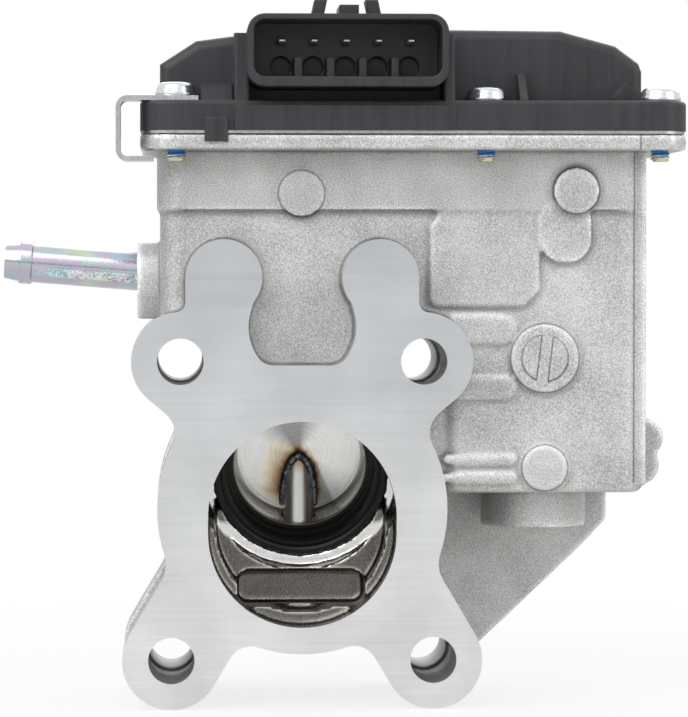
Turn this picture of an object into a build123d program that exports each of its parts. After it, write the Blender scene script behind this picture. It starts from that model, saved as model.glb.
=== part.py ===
from build123d import *
import os
from math import acos, atan2, cos, degrees, pi, radians, sin, sqrt, tan

# Motor-driven butterfly valve for recirculated exhaust gas.
# Millimetres. +Z up, the front flange faces -Y and is the plane Y = 0, X = Z = 0 is the port's centre.

os.makedirs("parts", exist_ok=True)

# ---------------------------------------------------------------- driving dimensions
# Flanges and the bolts that run through both
flange_depth = 45.0
flange_thickness = 9.0
upper_hole_x = 23.5
upper_hole_z = 31.5
lower_hole_x = 25.3
lower_hole_z = -26.2
bolt_hole_d = 9.0
bolt_relief_d = 10.4
lobe_r = 9.5
ear_x = 15.1
ear_z = 47.7
ear_r = 7.4
notch_r = 10.4
notch_z = 38.2
notch_floor_z = 30.7
barrel_r = 28.0
barrel_z = 3.0
web_inset = 2.4

# Gas channel
port_width = 36.4
port_height = 39.8
rear_port_d = 28.0
rear_port_z = 13.5
channel_tilt = 18.5
disc_y = 25.0
disc_z = 13.8
disc_d = 25.6
disc_front = 3.6
disc_back = 2.4
seal_ring_d = 26.2
seal_ring_width = 1.2
nozzle_bore_d = 26.4
nozzle_lip_d = 25.9
nozzle_lip_at = 8.4
nozzle_d = 34.0
nozzle_front = 15.4
nozzle_rear = 9.0
spotface_d = 38.0
spotface_lead = 3.0

# Valve shaft and what it turns in
shaft_d = 6.0
running_clearance = 0.03
bushing_d = 10.0
bushing_length = 8.0
bearing_d = 15.0
bearing_width = 5.0
seal_d = 13.0
seal_height = 4.0
plug_d = 12.0

# Gear case, rim and motor bore
wall = 2.4
case_left_x = -28.0
case_front_y = 7.5
case_rear_y = 51.0
case_floor_z = 60.8
rim_z = 75.4
rim_thickness = 3.1
rim_left = 3.2
rim_right = 7.6
rim_front = 8.5
rim_rear = 6.6
motor_d = 32.0
motor_bottom_z = 8.5
motor_wall = 3.6
bearing_boss_r = 10.5
bearing_boss_z = -2.0

# Gears
gear_module = 0.8
sector_teeth = 54
small_teeth = 11
large_teeth = 43
pinion_teeth = 11
valve_travel = 90.0
idler_angle = 9.73
motor_angle = -2.37
sector_z = 76.5
sector_thickness = 3.2
large_gear_z = 68.2
large_gear_thickness = 4.8
pinion_z = 66.4
pinion_height = 8.2
pin_d = 5.0
hub_r = 7.4
mesh_play = 0.10
tooth_backlash = 0.14

# Cover and connector
gasket_thickness = 0.6
cover_flange_t = 5.8
cover_top_z = 94.8
cover_wall = 2.3
connector_x = 8.55
connector_front_y = -6.0
shroud_width = 38.5
shroud_height = 13.8
shroud_z = 91.1
shroud_wall = 1.25
pin_pitch = 6.23
pin_count = 5
connector_pin_z = 93.2

# Fasteners
screw_d = 4.0
screw_head_d = 8.0
screw_tip_z = 70.2

# Coolant nipple
nipple_d = 7.8
nipple_bead_d = 8.6
nipple_bead_w = 2.6
nipple_tip_length = 2.9
nipple_y = 30.0
nipple_z = 48.9
nipple_rise = 4.5
nipple_boss_x = -32.0
nipple_tip_x = -58.4

# ---------------------------------------------------------------- worked-out dimensions
def pitch_radius(teeth):
    """A gear's pitch circle radius."""
    return gear_module * teeth / 2


def stepped_from(place, distance, angle):
    """The place in plan that lies a distance away from another at an angle."""
    return (place[0] + distance * cos(radians(angle)), place[1] + distance * sin(radians(angle)))


# Every shaft's place follows from the one before it: valve shaft, intermediate gear, motor
valve_place = (0, disc_y)
stage_two = pitch_radius(sector_teeth) + pitch_radius(small_teeth) + mesh_play
stage_one = pitch_radius(large_teeth) + pitch_radius(pinion_teeth) + mesh_play
idler_place = stepped_from(valve_place, stage_two, idler_angle)
motor_place = stepped_from(idler_place, stage_one, motor_angle)
motor_x, motor_y = motor_place
case_right_x = motor_x + motor_d / 2 + 0.2 + motor_wall
motor_case_r = motor_d / 2 + 0.2 + motor_wall
case_inner_floor_z = case_floor_z + wall
rim_x0 = case_left_x - rim_left
rim_x1 = case_right_x + rim_right
rim_y0 = case_front_y - rim_front
rim_y1 = case_rear_y + rim_rear
cover_z = rim_z + gasket_thickness
cover_flange_z = cover_z + cover_flange_t
shaft_r = shaft_d / 2
well_r = 12.5
well_z = 50.0
first_pin_x = connector_x - pin_pitch * (pin_count - 1) / 2
sector_bay_r = pitch_radius(sector_teeth) + 1.7


def facing_front(depth):
    """A plane that faces the viewer of the front flange, a given depth behind it (local y is up)."""
    return Plane.XZ.offset(-depth)


def level(height):
    """A horizontal plane at a given height."""
    return Plane.XY.offset(height)


def across(x):
    """A vertical plane that faces +X (local x runs along +Y)."""
    return Plane.YZ.offset(x)


# The gas bore leans back: seen from the front its axis climbs towards the rear flange
channel = Plane(
    origin=(0, disc_y, disc_z),
    x_dir=(1, 0, 0),
    z_dir=(0, -cos(radians(channel_tilt)), -sin(radians(channel_tilt))),
)


# ---------------------------------------------------------------- gear train geometry
tooth_addendum = 0.86
tooth_dedendum = 1.22
pressure_angle = radians(20)


def involute(angle):
    return tan(angle) - angle


def tooth_half_angle(teeth, radius):
    """Half the angle that one tooth spans at a radius, seen from the gear's centre."""
    base = pitch_radius(teeth) * cos(pressure_angle)
    at_pitch = pi / (2 * teeth) - tooth_backlash / (2 * pitch_radius(teeth))
    pitch_roll = involute(pressure_angle)
    roll = involute(acos(base / radius)) if radius > base else 0
    return at_pitch + pitch_roll - roll


def tooth_points(teeth, middle):
    """One tooth's flanks, root to tip to root, about an angle in radians."""
    pitch = pitch_radius(teeth)
    base = pitch * cos(pressure_angle)
    root = pitch - tooth_dedendum * gear_module
    tip = pitch + tooth_addendum * gear_module
    flank = base if base > root else (root + pitch) / 2
    radii = [root, flank, pitch, (pitch + tip) / 2, tip]
    rising = [(r, middle - tooth_half_angle(teeth, r)) for r in radii]
    falling = [(r, middle + tooth_half_angle(teeth, r)) for r in reversed(radii)]
    points = [(r * cos(a), r * sin(a)) for r, a in rising + falling]
    return points


def gear_outline(teeth, first_angle, count=None):
    """A full gear's outline, or a slice with count teeth that closes at the gear's centre."""
    step = 2 * pi / teeth
    points = []
    for tooth in range(count or teeth):
        points += tooth_points(teeth, radians(first_angle) + tooth * step)
    if count:
        points.append((0, 0))
    with BuildSketch() as outline:
        with BuildLine():
            Polyline(*points, close=True)
        make_face()
    return outline.sketch


# ---------------------------------------------------------------- flange outline
def neck(start, end, width):
    """A straight bar between two centres, as wide as the lobe that it carries."""
    length = sqrt((end[0] - start[0]) ** 2 + (end[1] - start[1]) ** 2)
    turn = degrees(atan2(end[1] - start[1], end[0] - start[0]))
    middle = ((start[0] + end[0]) / 2, (start[1] + end[1]) / 2)
    with Locations(Location(middle, turn)):
        Rectangle(length, width)


def nearest(vertices, x, y):
    return min(vertices, key=lambda v: (v.X - x) ** 2 + (v.Y - y) ** 2)


def flange_shape():
    """The outline that both flanges share: a barrel with four bolt lobes and two ears."""
    ear_root_x = notch_r - 0.8
    with BuildSketch() as shape:
        with Locations((0, barrel_z)):
            Circle(barrel_r)
        for side in (-1, 1):
            upper = (side * upper_hole_x, upper_hole_z)
            lower = (side * lower_hole_x, lower_hole_z)
            with Locations(upper, lower):
                Circle(lobe_r)
            neck(upper, (0, upper_hole_z - 19.5), 2 * lobe_r)
            neck(lower, (side * 8, barrel_z), 2 * lobe_r)
            with Locations((side * ear_x, ear_z)):
                Circle(ear_r)
            with Locations((side * (ear_root_x + ear_x + ear_r) / 2, (ear_z + notch_floor_z) / 2)):
                Rectangle(ear_x + ear_r - ear_root_x, ear_z - notch_floor_z)
        with Locations((0, (barrel_z + notch_z) / 2)):
            Rectangle(2 * ear_x, notch_z - barrel_z)
        with Locations((0, notch_z)):
            Circle(notch_r, mode=Mode.SUBTRACT)
        with Locations((0, notch_floor_z - notch_r / 2)):
            Rectangle(2 * notch_r, notch_r)
    return shape.sketch


def rounded_flange_shape():
    """The flange outline with its inner corners rounded as the casting's are."""
    outer_ear = ear_x + ear_r
    ear_root_z = upper_hole_z + sqrt(lobe_r**2 - (outer_ear - upper_hole_x) ** 2)
    notch_corner_x = sqrt(notch_r**2 - (notch_floor_z - notch_z) ** 2)
    with BuildSketch() as shape:
        add(flange_shape())
        for side in (-1, 1):
            fillet(nearest(shape.vertices(), side * outer_ear, ear_root_z), 1.8)
            fillet(nearest(shape.vertices(), side * (barrel_r - 5), barrel_z + 15.5), 5)
            fillet(nearest(shape.vertices(), side * (barrel_r - 2.4), barrel_z - 11), 6)
            fillet(nearest(shape.vertices(), side * 11.8, barrel_z - barrel_r + 2.7), 4.5)
            fillet(nearest(shape.vertices(), side * notch_corner_x, notch_floor_z), 3.5)
    return shape.sketch


# ---------------------------------------------------------------- valve body casting
flange_outline = rounded_flange_shape()
bolt_places = [(side * upper_hole_x, upper_hole_z) for side in (-1, 1)]
bolt_places += [(side * lower_hole_x, lower_hole_z) for side in (-1, 1)]
cavity_x0 = case_left_x + wall
cavity_x1 = case_right_x - wall
cavity_y0 = case_front_y + wall
cavity_y1 = case_rear_y - wall
front_screw_y = rim_y0 + 6.0
rear_screw_y = rim_y1 - 4.6
right_screw_x = rim_x1 - 5.0
left_screw_x = case_left_x + 3.8
middle_front_screw_x = 35.9
middle_rear_screw_x = 24.0
screw_places = [
    (left_screw_x, front_screw_y),
    (middle_front_screw_x, front_screw_y),
    (right_screw_x, front_screw_y),
    (left_screw_x, rear_screw_y),
    (middle_rear_screw_x, rear_screw_y),
    (right_screw_x, rear_screw_y),
]
screw_hole_r = screw_d / 2 + 0.05
tilt = radians(channel_tilt)
nozzle_top_z = disc_z + nozzle_rear * sin(tilt) + nozzle_d / 2 * cos(tilt)
seat_gap = 0.05
upper_bushing_z = nozzle_top_z + seat_gap
seal_z = upper_bushing_z + bushing_length + seat_gap
bearing_z = well_z - bearing_width
lower_bushing_top = -10.5
lower_bushing_z = lower_bushing_top - bushing_length
plug_height = 2.4
plug_z = lower_bushing_z - 0.3 - plug_height
motor_screw_dx = 13.2
motor_screw_dy = 14.2
motor_screw_places = [
    (motor_x + motor_screw_dx, motor_y - motor_screw_dy),
    (motor_x - motor_screw_dx, motor_y + motor_screw_dy),
]


def rounded_plate(x0, x1, y0, y1, radius):
    """A rectangle by its sides, with round corners."""
    with Locations(((x0 + x1) / 2, (y0 + y1) / 2)):
        RectangleRounded(x1 - x0, y1 - y0, radius)


def column(x0, x1, y0, y1, z0, z1, radius, mode=Mode.ADD):
    """An upright block by its sides, with round upright corners."""
    with BuildSketch(level(z0)) as outline:
        rounded_plate(x0, x1, y0, y1, radius)
    extrude(outline.sketch, amount=z1 - z0, mode=mode)


def post(place, radius, z0, z1, mode=Mode.ADD):
    """An upright cylinder at a place in plan."""
    with BuildSketch(level(z0)) as outline:
        with Locations(place):
            Circle(radius)
    extrude(outline.sketch, amount=z1 - z0, mode=mode)


def pad(depth, height, x, z, radius, mode=Mode.ADD):
    """A round pad that stands out towards the front from a given depth."""
    with BuildSketch(facing_front(depth)) as outline:
        with Locations((x, z)):
            Circle(radius)
    extrude(outline.sketch, amount=height, mode=mode)


front_face_y = motor_y - motor_case_r
flange_lip = 4.0
shaft_bore_r = shaft_r + 0.6
nipple = Plane(
    origin=(nipple_boss_x, nipple_y, nipple_z),
    x_dir=(0, 1, 0),
    z_dir=(-cos(radians(nipple_rise)), 0, sin(radians(nipple_rise))),
)
nipple_socket = 10.0
panel_x0 = 25.2
panel_x1 = 46.5
panel_z = 42.2
boss_x = 51.7
pad_r = 4.5
dial_r = 6.7
dial_z = 31.9
lug_x = case_right_x + 2.0
lug_z = 15.5
port_step = 1.6
port_step_y = 7.0
floor_step_y = 14.0
recess_z = -13.1
recess_width = 25.0
recess_height = 6.4
recess_depth = 10.0
can_boss_r = 5.5
idler_seat_z = large_gear_z - 0.3
pin_foot_z = case_inner_floor_z - 6
idler_boss_r = 5.0
motor_screw_d = 3.0
shaft_top_z = sector_z + sector_thickness + 1.5
terminal_top_z = sector_z + 7.0

with BuildPart() as valve_body:
    # Gear case: a tray with thin walls and a rim that carries the cover
    column(case_left_x, case_right_x, case_front_y, case_rear_y, case_floor_z, rim_z, 5)
    # Block under the case, round the shaft's bearings
    column(case_left_x + 0.6, motor_x, case_front_y + 1.2, flange_depth - 1.5, notch_z, case_floor_z, 4)
    column(-lobe_r * 2, lobe_r * 2, case_front_y + 1.2, flange_depth - 1, notch_floor_z - 8, notch_z + 4, 2)
    # Motor casting: flat fronted, round at the back
    with BuildSketch(level(motor_bottom_z - wall - 0.6)):
        with Locations(motor_place):
            Circle(motor_case_r)
        rounded_plate(motor_x - motor_case_r, case_right_x, front_face_y, motor_y + 4, 3.5)
    extrude(amount=case_floor_z - motor_bottom_z + wall + 0.6)
    fillet(valve_body.faces().sort_by(Axis.Z)[0].edges(), 1.2)
    # Mid section between the flanges
    with BuildSketch(facing_front(flange_thickness - 1)):
        offset(flange_outline, -web_inset)
    extrude(amount=flange_thickness - 1 - flange_depth + 1)
    # Web that ties the motor casting to the rear flange
    with BuildSketch(facing_front(flange_depth)):
        with BuildLine():
            Polyline(
                (20, motor_bottom_z),
                (case_right_x - 3.8, motor_bottom_z),
                (case_right_x - 3.8, -1.6),
                (case_right_x - 8.9, -7.1),
                (lower_hole_x + lobe_r * 1.18, lower_hole_z - 1.5),
                (lower_hole_x, lower_hole_z),
                (20, barrel_z),
                close=True,
            )
        make_face()
    extrude(amount=flange_thickness - 2)
    # Flanges
    with BuildSketch(facing_front(flange_lip)):
        add(flange_outline)
    extrude(amount=flange_lip - flange_thickness)
    with BuildSketch(facing_front(flange_depth)):
        add(flange_outline)
    extrude(amount=flange_thickness)
    # Bearing boss under the motor
    post((motor_x, motor_y), bearing_boss_r, bearing_boss_z, motor_bottom_z)
    # Rim
    column(rim_x0, rim_x1, rim_y0, rim_y1, rim_z - rim_thickness, rim_z, 6)
    # Shallow forms on the front: raised panel, pads, dial and the ribs beside the bolt lobe
    with BuildSketch(facing_front(front_face_y + 0.5)):
        with BuildLine():
            Polyline(
                (panel_x0, panel_z + 1),
                (panel_x0, case_floor_z - 3),
                (panel_x0 + 3, case_floor_z + 1),
                (panel_x1, case_floor_z + 1),
                (panel_x1, panel_z + 3),
                (panel_x1 - 3, panel_z),
                (panel_x0 + 1, panel_z),
                close=True,
            )
        make_face()
    extrude(amount=1.5)
    with BuildSketch(facing_front(front_face_y + 0.5)):
        with Locations((boss_x, case_floor_z - 4)):
            RectangleRounded(10.2, 12.4, 4.6)
    extrude(amount=1.9)
    pad(case_front_y + 0.5, 0.8, 0.1, 64.0, pad_r)
    pad(case_front_y + 0.5, 1.7, 53.7, 64.6, pad_r)
    pad(front_face_y + 0.5, 1.3, motor_x + 0.3, dial_z, dial_r)
    pad(front_face_y + 0.5, 1.2, motor_x + 0.3, 10.4, pad_r)
    for rib_z, rib_height in ((37.6, 5.4), (26.2, 4.2), (12.2, 1.8), (8.6, 1.8)):
        with BuildSketch(facing_front(front_face_y + 0.5)):
            with Locations((motor_x - 12.6, rib_z)):
                RectangleRounded(14, rib_height, rib_height * 0.45)
        extrude(amount=1.1)
    # Nipple boss on the left and cast lug on the right
    with BuildSketch(across(nipple_boss_x)):
        with Locations(Location((nipple_y, nipple_z - 2), 90)):
            SlotOverall(15.2, 12.6)
    extrude(amount=case_left_x - nipple_boss_x + 8)
    with BuildSketch(facing_front(motor_y - 4)):
        with Locations((lug_x, lug_z), (lug_x - 0.8, lug_z - 5.4)):
            Circle(4.1)
        with Locations((lug_x - 4, lug_z - 2)):
            Rectangle(8, 11)
    extrude(amount=-7)

    # Gas channel: round bore along the slanted axis, then the lip of the front flange with its port
    with BuildSketch(channel.offset(-nozzle_rear)):
        Circle(nozzle_d / 2)
    extrude(amount=nozzle_rear + nozzle_front, mode=Mode.SUBTRACT)
    with BuildSketch(channel.offset(nozzle_front)):
        Circle(spotface_d / 2)
    extrude(amount=disc_y, mode=Mode.SUBTRACT)
    with BuildSketch(channel.offset(-nozzle_rear)):
        Circle(nozzle_d / 2 - 1.6)
    extrude(amount=-spotface_lead, mode=Mode.SUBTRACT)
    with BuildSketch(facing_front(flange_depth)):
        with Locations((0, rear_port_z)):
            Circle(rear_port_d / 2)
    extrude(amount=rear_port_d / 2, mode=Mode.SUBTRACT)
    with BuildSketch(facing_front(0)):
        add(flange_outline)
    extrude(amount=-flange_lip)
    # Port: an upright slot, a smaller one behind it, and a shaped recess in its floor
    with BuildSketch(facing_front(0)):
        SlotOverall(port_height, port_width, rotation=90)
    extrude(amount=-port_step_y, mode=Mode.SUBTRACT)
    with BuildSketch(facing_front(port_step_y)):
        with Locations((0, port_step / 2)):
            SlotOverall(port_height - 2 * port_step, port_width - 2 * port_step, rotation=90)
    extrude(amount=port_step_y - floor_step_y, mode=Mode.SUBTRACT)
    with BuildSketch(facing_front(port_step_y)):
        with Locations((0, recess_z)):
            RectangleRounded(recess_width, recess_height, recess_height * 0.35)
    extrude(amount=-recess_depth, mode=Mode.SUBTRACT)

    # Bolt holes, drilled from both faces into a wider cast middle
    with BuildSketch(facing_front(0)):
        with Locations(*bolt_places):
            Circle(bolt_hole_d / 2)
    extrude(amount=-flange_depth, mode=Mode.SUBTRACT)
    with BuildSketch(facing_front(flange_depth * 0.36)):
        with Locations(*bolt_places):
            Circle(bolt_relief_d / 2)
    extrude(amount=-flange_depth * 0.28, mode=Mode.SUBTRACT)

    # Tray of the gear case, spring well, motor bore
    column(cavity_x0, cavity_x1, cavity_y0, cavity_y1, case_inner_floor_z, rim_z, 3, Mode.SUBTRACT)
    post(valve_place, well_r, well_z, rim_z, Mode.SUBTRACT)
    post(motor_place, motor_d / 2 + 0.2, motor_bottom_z, rim_z, Mode.SUBTRACT)
    post(motor_place, can_boss_r + 1.2, bearing_boss_z + wall, motor_bottom_z, Mode.SUBTRACT)
    post(idler_place, idler_boss_r, case_inner_floor_z - 1, idler_seat_z)

    # Bores on the valve shaft's axis, each cut from the side it is fitted from
    post(valve_place, plug_d / 2, barrel_z - barrel_r, lower_bushing_z - 0.2, Mode.SUBTRACT)
    post(valve_place, bushing_d / 2, lower_bushing_z - 0.2, lower_bushing_top, Mode.SUBTRACT)
    post(valve_place, shaft_bore_r, lower_bushing_top, upper_bushing_z, Mode.SUBTRACT)
    post(valve_place, bushing_d / 2, upper_bushing_z, seal_z, Mode.SUBTRACT)
    post(valve_place, seal_d / 2, seal_z, bearing_z, Mode.SUBTRACT)
    post(valve_place, bearing_d / 2, bearing_z, well_z, Mode.SUBTRACT)

    # Pin, screw and nipple holes
    post(idler_place, pin_d / 2, pin_foot_z, idler_seat_z, Mode.SUBTRACT)
    for place in motor_screw_places:
        post(place, motor_screw_d / 2, case_inner_floor_z - 7, case_inner_floor_z, Mode.SUBTRACT)
    for place in screw_places:
        post(place, screw_hole_r, rim_z - rim_thickness - 3, rim_z, Mode.SUBTRACT)
    with BuildSketch(nipple.offset(1)):
        Circle(nipple_d / 2)
    extrude(amount=-nipple_socket - 1, mode=Mode.SUBTRACT)
    with BuildSketch(nipple):
        Circle(nipple_d / 2 - 1.2)
    extrude(amount=-nipple_socket - 6, mode=Mode.SUBTRACT)
    # Screwdriver slot across the dial
    with BuildSketch(facing_front(front_face_y - 1)):
        with Locations(Location((motor_x + 0.3, dial_z), 82)):
            SlotOverall(9.2, 1.8)
    extrude(amount=-1.2, mode=Mode.SUBTRACT)
    rim_front = valve_body.faces().filter_by(Axis.Y).sort_by(Axis.Y)[0]
    chamfer(rim_front.edges(), 0.3)
valve_body.part.label = "valve_body"


# ---------------------------------------------------------------- gas side: nozzle, flap, shaft
lip_land = 0.9
throat_growth = 0.9
mouth_middle_depth = 4.6
mouth_middle_growth = 1.7
mouth_rim_depth = 1.2
mouth_rim_growth = 2.4


def widen_mouth(depth, growth):
    """One turned step in the nozzle's mouth, cut from its front."""
    with BuildSketch(channel.offset(nozzle_front)) as step:
        Circle(nozzle_lip_d / 2 + growth)
    extrude(step.sketch, amount=-depth, mode=Mode.SUBTRACT)


with BuildPart() as nozzle_ring:
    with BuildSketch(channel.offset(-nozzle_rear)):
        Circle(nozzle_d / 2)
    extrude(amount=nozzle_rear + nozzle_front)
    with BuildSketch(channel.offset(-nozzle_rear)):
        Circle(nozzle_bore_d / 2)
    extrude(amount=nozzle_rear + nozzle_lip_at, mode=Mode.SUBTRACT)
    # Mouth in front of the lip: it widens in turned steps
    with BuildSketch(channel.offset(nozzle_lip_at)):
        Circle(nozzle_lip_d / 2)
    extrude(amount=nozzle_front - nozzle_lip_at, mode=Mode.SUBTRACT)
    widen_mouth(nozzle_front - nozzle_lip_at - lip_land, throat_growth)
    widen_mouth(mouth_middle_depth, mouth_middle_growth)
    widen_mouth(mouth_rim_depth, mouth_rim_growth)
    chamfer(nozzle_ring.edges().filter_by(GeomType.CIRCLE).group_by(Axis.Y)[0], 0.4)
    post(valve_place, shaft_r + 0.3, disc_z - nozzle_d, disc_z + nozzle_d, Mode.SUBTRACT)
nozzle_ring.part.label = "nozzle_ring"

groove_depth = 1.0
with BuildPart() as valve_disc:
    with BuildSketch(channel.offset(-disc_back)):
        Circle(disc_d / 2)
    extrude(amount=disc_back + disc_front)
    disc_face = valve_disc.faces().sort_by(Axis(channel.origin, channel.z_dir))[-1]
    chamfer(disc_face.edges(), 0.6)
    with BuildSketch(channel.offset(-seal_ring_width / 2 - 0.05)):
        Circle(disc_d / 2)
        Circle(disc_d / 2 - groove_depth, mode=Mode.SUBTRACT)
    extrude(amount=seal_ring_width + 0.1, mode=Mode.SUBTRACT)
    post(valve_place, shaft_r, disc_z - disc_d, disc_z + disc_d, Mode.SUBTRACT)
valve_disc.part.label = "valve_disc"

with BuildPart() as seal_ring:
    with BuildSketch(channel.offset(-seal_ring_width / 2)):
        Circle(seal_ring_d / 2)
        Circle(disc_d / 2 - groove_depth + 0.1, mode=Mode.SUBTRACT)
        with Locations((seal_ring_d / 2, 0)):
            Rectangle(4, 0.5, mode=Mode.SUBTRACT)
    extrude(amount=seal_ring_width)
seal_ring.part.label = "seal_ring"

with BuildPart() as valve_shaft:
    post(valve_place, shaft_r, lower_bushing_z + 0.4, shaft_top_z)
    chamfer(valve_shaft.edges().filter_by(GeomType.CIRCLE), 0.4)
valve_shaft.part.label = "valve_shaft"

# Weld bead: a raised band that arches over the shaft where it leaves the flap's front face
weld_width = 1.0
weld_height = 0.9
weld_foot = -11.0
shaft_crossing = -disc_front / tan(tilt)
with BuildPart() as disc_weld:
    with BuildSketch(channel.offset(disc_front)):
        with Locations((0, shaft_crossing)):
            Ellipse(shaft_r + weld_width, shaft_r / sin(tilt) + 1.9 * weld_width)
        with Locations((0, weld_foot - disc_d / 2)):
            Rectangle(disc_d, disc_d, mode=Mode.SUBTRACT)
    extrude(amount=weld_height)
    bead_top = disc_weld.faces().sort_by(Axis(channel.origin, channel.z_dir))[-1]
    chamfer(bead_top.edges().filter_by(GeomType.ELLIPSE), weld_height * 0.4)
    post(valve_place, shaft_r, disc_z - nozzle_d, disc_z + nozzle_d, Mode.SUBTRACT)
disc_weld.part.label = "disc_weld"


# ---------------------------------------------------------------- shaft bearings and seals
def sleeve(place, outer, inner, z0, z1):
    """A plain ring between two heights."""
    post(place, outer, z0, z1)
    post(place, inner, z0, z1, Mode.SUBTRACT)


with BuildPart() as lower_bushing:
    sleeve(valve_place, bushing_d / 2, shaft_r + running_clearance, lower_bushing_z, lower_bushing_top)
lower_bushing.part.label = "lower_bushing"

with BuildPart() as lower_plug:
    post(valve_place, plug_d / 2, plug_z, plug_z + plug_height)
    post(valve_place, plug_d / 2 - 1.0, plug_z, plug_z + plug_height - 1, Mode.SUBTRACT)
    fillet(lower_plug.edges().group_by(Axis.Z)[-1], 0.8)
lower_plug.part.label = "lower_plug"

with BuildPart() as upper_bushing:
    sleeve(valve_place, bushing_d / 2, shaft_r + running_clearance, upper_bushing_z,
           upper_bushing_z + bushing_length)
upper_bushing.part.label = "upper_bushing"

with BuildPart() as shaft_seal:
    sleeve(valve_place, seal_d / 2, shaft_r + 0.3, seal_z, seal_z + seal_height)
    post(valve_place, seal_d / 2 - 1.2, seal_z + 1.4, seal_z + seal_height, Mode.SUBTRACT)
    sleeve_inner = shaft_r + 1.3
    sleeve(valve_place, sleeve_inner, shaft_r + 0.05, seal_z, seal_z + seal_height - 0.6)
shaft_seal.part.label = "shaft_seal"

ball_r = 1.4
ball_ring_r = (bearing_d / 2 + shaft_r) / 2
ball_z = bearing_z + bearing_width / 2
with BuildPart() as bearing_outer_ring:
    sleeve(valve_place, bearing_d / 2, ball_ring_r + ball_r * 0.55, bearing_z, well_z)
    with Locations((0, disc_y, ball_z)):
        Torus(ball_ring_r, ball_r + 0.05, mode=Mode.SUBTRACT)
bearing_outer_ring.part.label = "bearing_outer_ring"

with BuildPart() as bearing_inner_ring:
    sleeve(valve_place, ball_ring_r - ball_r * 0.55, shaft_r, bearing_z, well_z)
    with Locations((0, disc_y, ball_z)):
        Torus(ball_ring_r, ball_r + 0.05, mode=Mode.SUBTRACT)
bearing_inner_ring.part.label = "bearing_inner_ring"

with BuildPart() as bearing_balls:
    with Locations((0, disc_y, ball_z)):
        with PolarLocations(ball_ring_r, 8):
            Sphere(ball_r)
bearing_balls.part.label = "bearing_balls"


# ---------------------------------------------------------------- gear train
valve_tooth_step = 360 / sector_teeth
sector_count = round((valve_travel + 20) / valve_tooth_step)
sector_hub_r = 10.0
insert_r = 6.2
insert_thickness = 2.0
insert_z = shaft_top_z - insert_thickness
magnet_z = shaft_top_z + 0.4
magnet_height = 4.8
magnet_inner_r = 4.6
magnet_outer_r = insert_r
yoke_outer_r = 7.2
valve_hub_top = magnet_z + magnet_height + 0.3

with BuildPart() as valve_gear:
    # Hub, the toothed slice and the cup that holds the magnets
    post(valve_place, hub_r, well_z + 0.8, valve_hub_top)
    with BuildSketch(level(sector_z)):
        with Locations(valve_place):
            add(gear_outline(sector_teeth, idler_angle - valve_tooth_step, sector_count))
            Circle(sector_hub_r)
    extrude(amount=sector_thickness)
    post(valve_place, yoke_outer_r + 1.2, sector_z + sector_thickness, valve_hub_top)
    # Lightening slots between the spokes
    with BuildSketch(level(sector_z)):
        with Locations(valve_place):
            for spoke in range(3):
                turn = idler_angle + 12 + spoke * 31
                with Locations(Location((0, 0), turn)):
                    with Locations((sector_hub_r + 4.6, 0)):
                        RectangleRounded(5.0, 5.6, 1.6)
    extrude(amount=sector_thickness, mode=Mode.SUBTRACT)
    post(valve_place, shaft_r, well_z, shaft_top_z, Mode.SUBTRACT)
    post(valve_place, insert_r, insert_z, valve_hub_top, Mode.SUBTRACT)
    post(valve_place, yoke_outer_r, magnet_z - 0.2, valve_hub_top, Mode.SUBTRACT)
valve_gear.part.label = "valve_gear"

with BuildPart() as gear_insert:
    sleeve(valve_place, insert_r, shaft_r, insert_z, shaft_top_z)
    with BuildSketch(level(insert_z)):
        with Locations(valve_place):
            with PolarLocations(shaft_r + 1.6, 4):
                Circle(0.7)
    extrude(amount=insert_thickness, mode=Mode.SUBTRACT)
gear_insert.part.label = "gear_insert"

with BuildPart() as sensor_magnets:
    with BuildSketch(level(magnet_z)):
        with Locations(valve_place):
            Circle(magnet_outer_r - 0.02)
            Circle(magnet_inner_r, mode=Mode.SUBTRACT)
            Rectangle(3.2, 2 * insert_r + 1, mode=Mode.SUBTRACT)
    extrude(amount=magnet_height)
sensor_magnets.part.label = "sensor_magnets"

with BuildPart() as magnet_yoke:
    sleeve(valve_place, yoke_outer_r, magnet_outer_r, magnet_z - 0.2, magnet_z + magnet_height)
magnet_yoke.part.label = "magnet_yoke"

small_step = 360 / small_teeth
idler_hub_r = pitch_radius(small_teeth) + tooth_addendum * gear_module
with BuildPart() as intermediate_gear:
    with BuildSketch(level(large_gear_z)):
        with Locations(idler_place):
            add(gear_outline(large_teeth, motor_angle))
    extrude(amount=large_gear_thickness)
    # Thinner web between the rim and the hub
    web_cut = large_gear_thickness * 0.28
    for web_z in (large_gear_z, large_gear_z + large_gear_thickness - web_cut):
        with BuildSketch(level(web_z)):
            with Locations(idler_place):
                Circle(pitch_radius(large_teeth) - 3)
                Circle(idler_hub_r + 1.2, mode=Mode.SUBTRACT)
        extrude(amount=web_cut, mode=Mode.SUBTRACT)
    with BuildSketch(level(large_gear_z)):
        with Locations(idler_place):
            with PolarLocations(idler_hub_r + 5.2, 6):
                Circle(2.2)
    extrude(amount=large_gear_thickness, mode=Mode.SUBTRACT)
    post(idler_place, idler_hub_r, large_gear_z + large_gear_thickness, sector_z - 0.3)
    with BuildSketch(level(sector_z - 0.3)):
        with Locations(idler_place):
            add(gear_outline(small_teeth, idler_angle + 180 + small_step / 2))
    extrude(amount=sector_thickness + 0.5)
    post(idler_place, pin_d / 2 + running_clearance, large_gear_z - 1, valve_hub_top, Mode.SUBTRACT)
intermediate_gear.part.label = "intermediate_gear"

pin_top_z = sector_z + sector_thickness + 5.8
with BuildPart() as intermediate_pin:
    post(idler_place, pin_d / 2, pin_foot_z + 0.3, pin_top_z)
    chamfer(intermediate_pin.edges().filter_by(GeomType.CIRCLE), 0.4)
intermediate_pin.part.label = "intermediate_pin"

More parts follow.
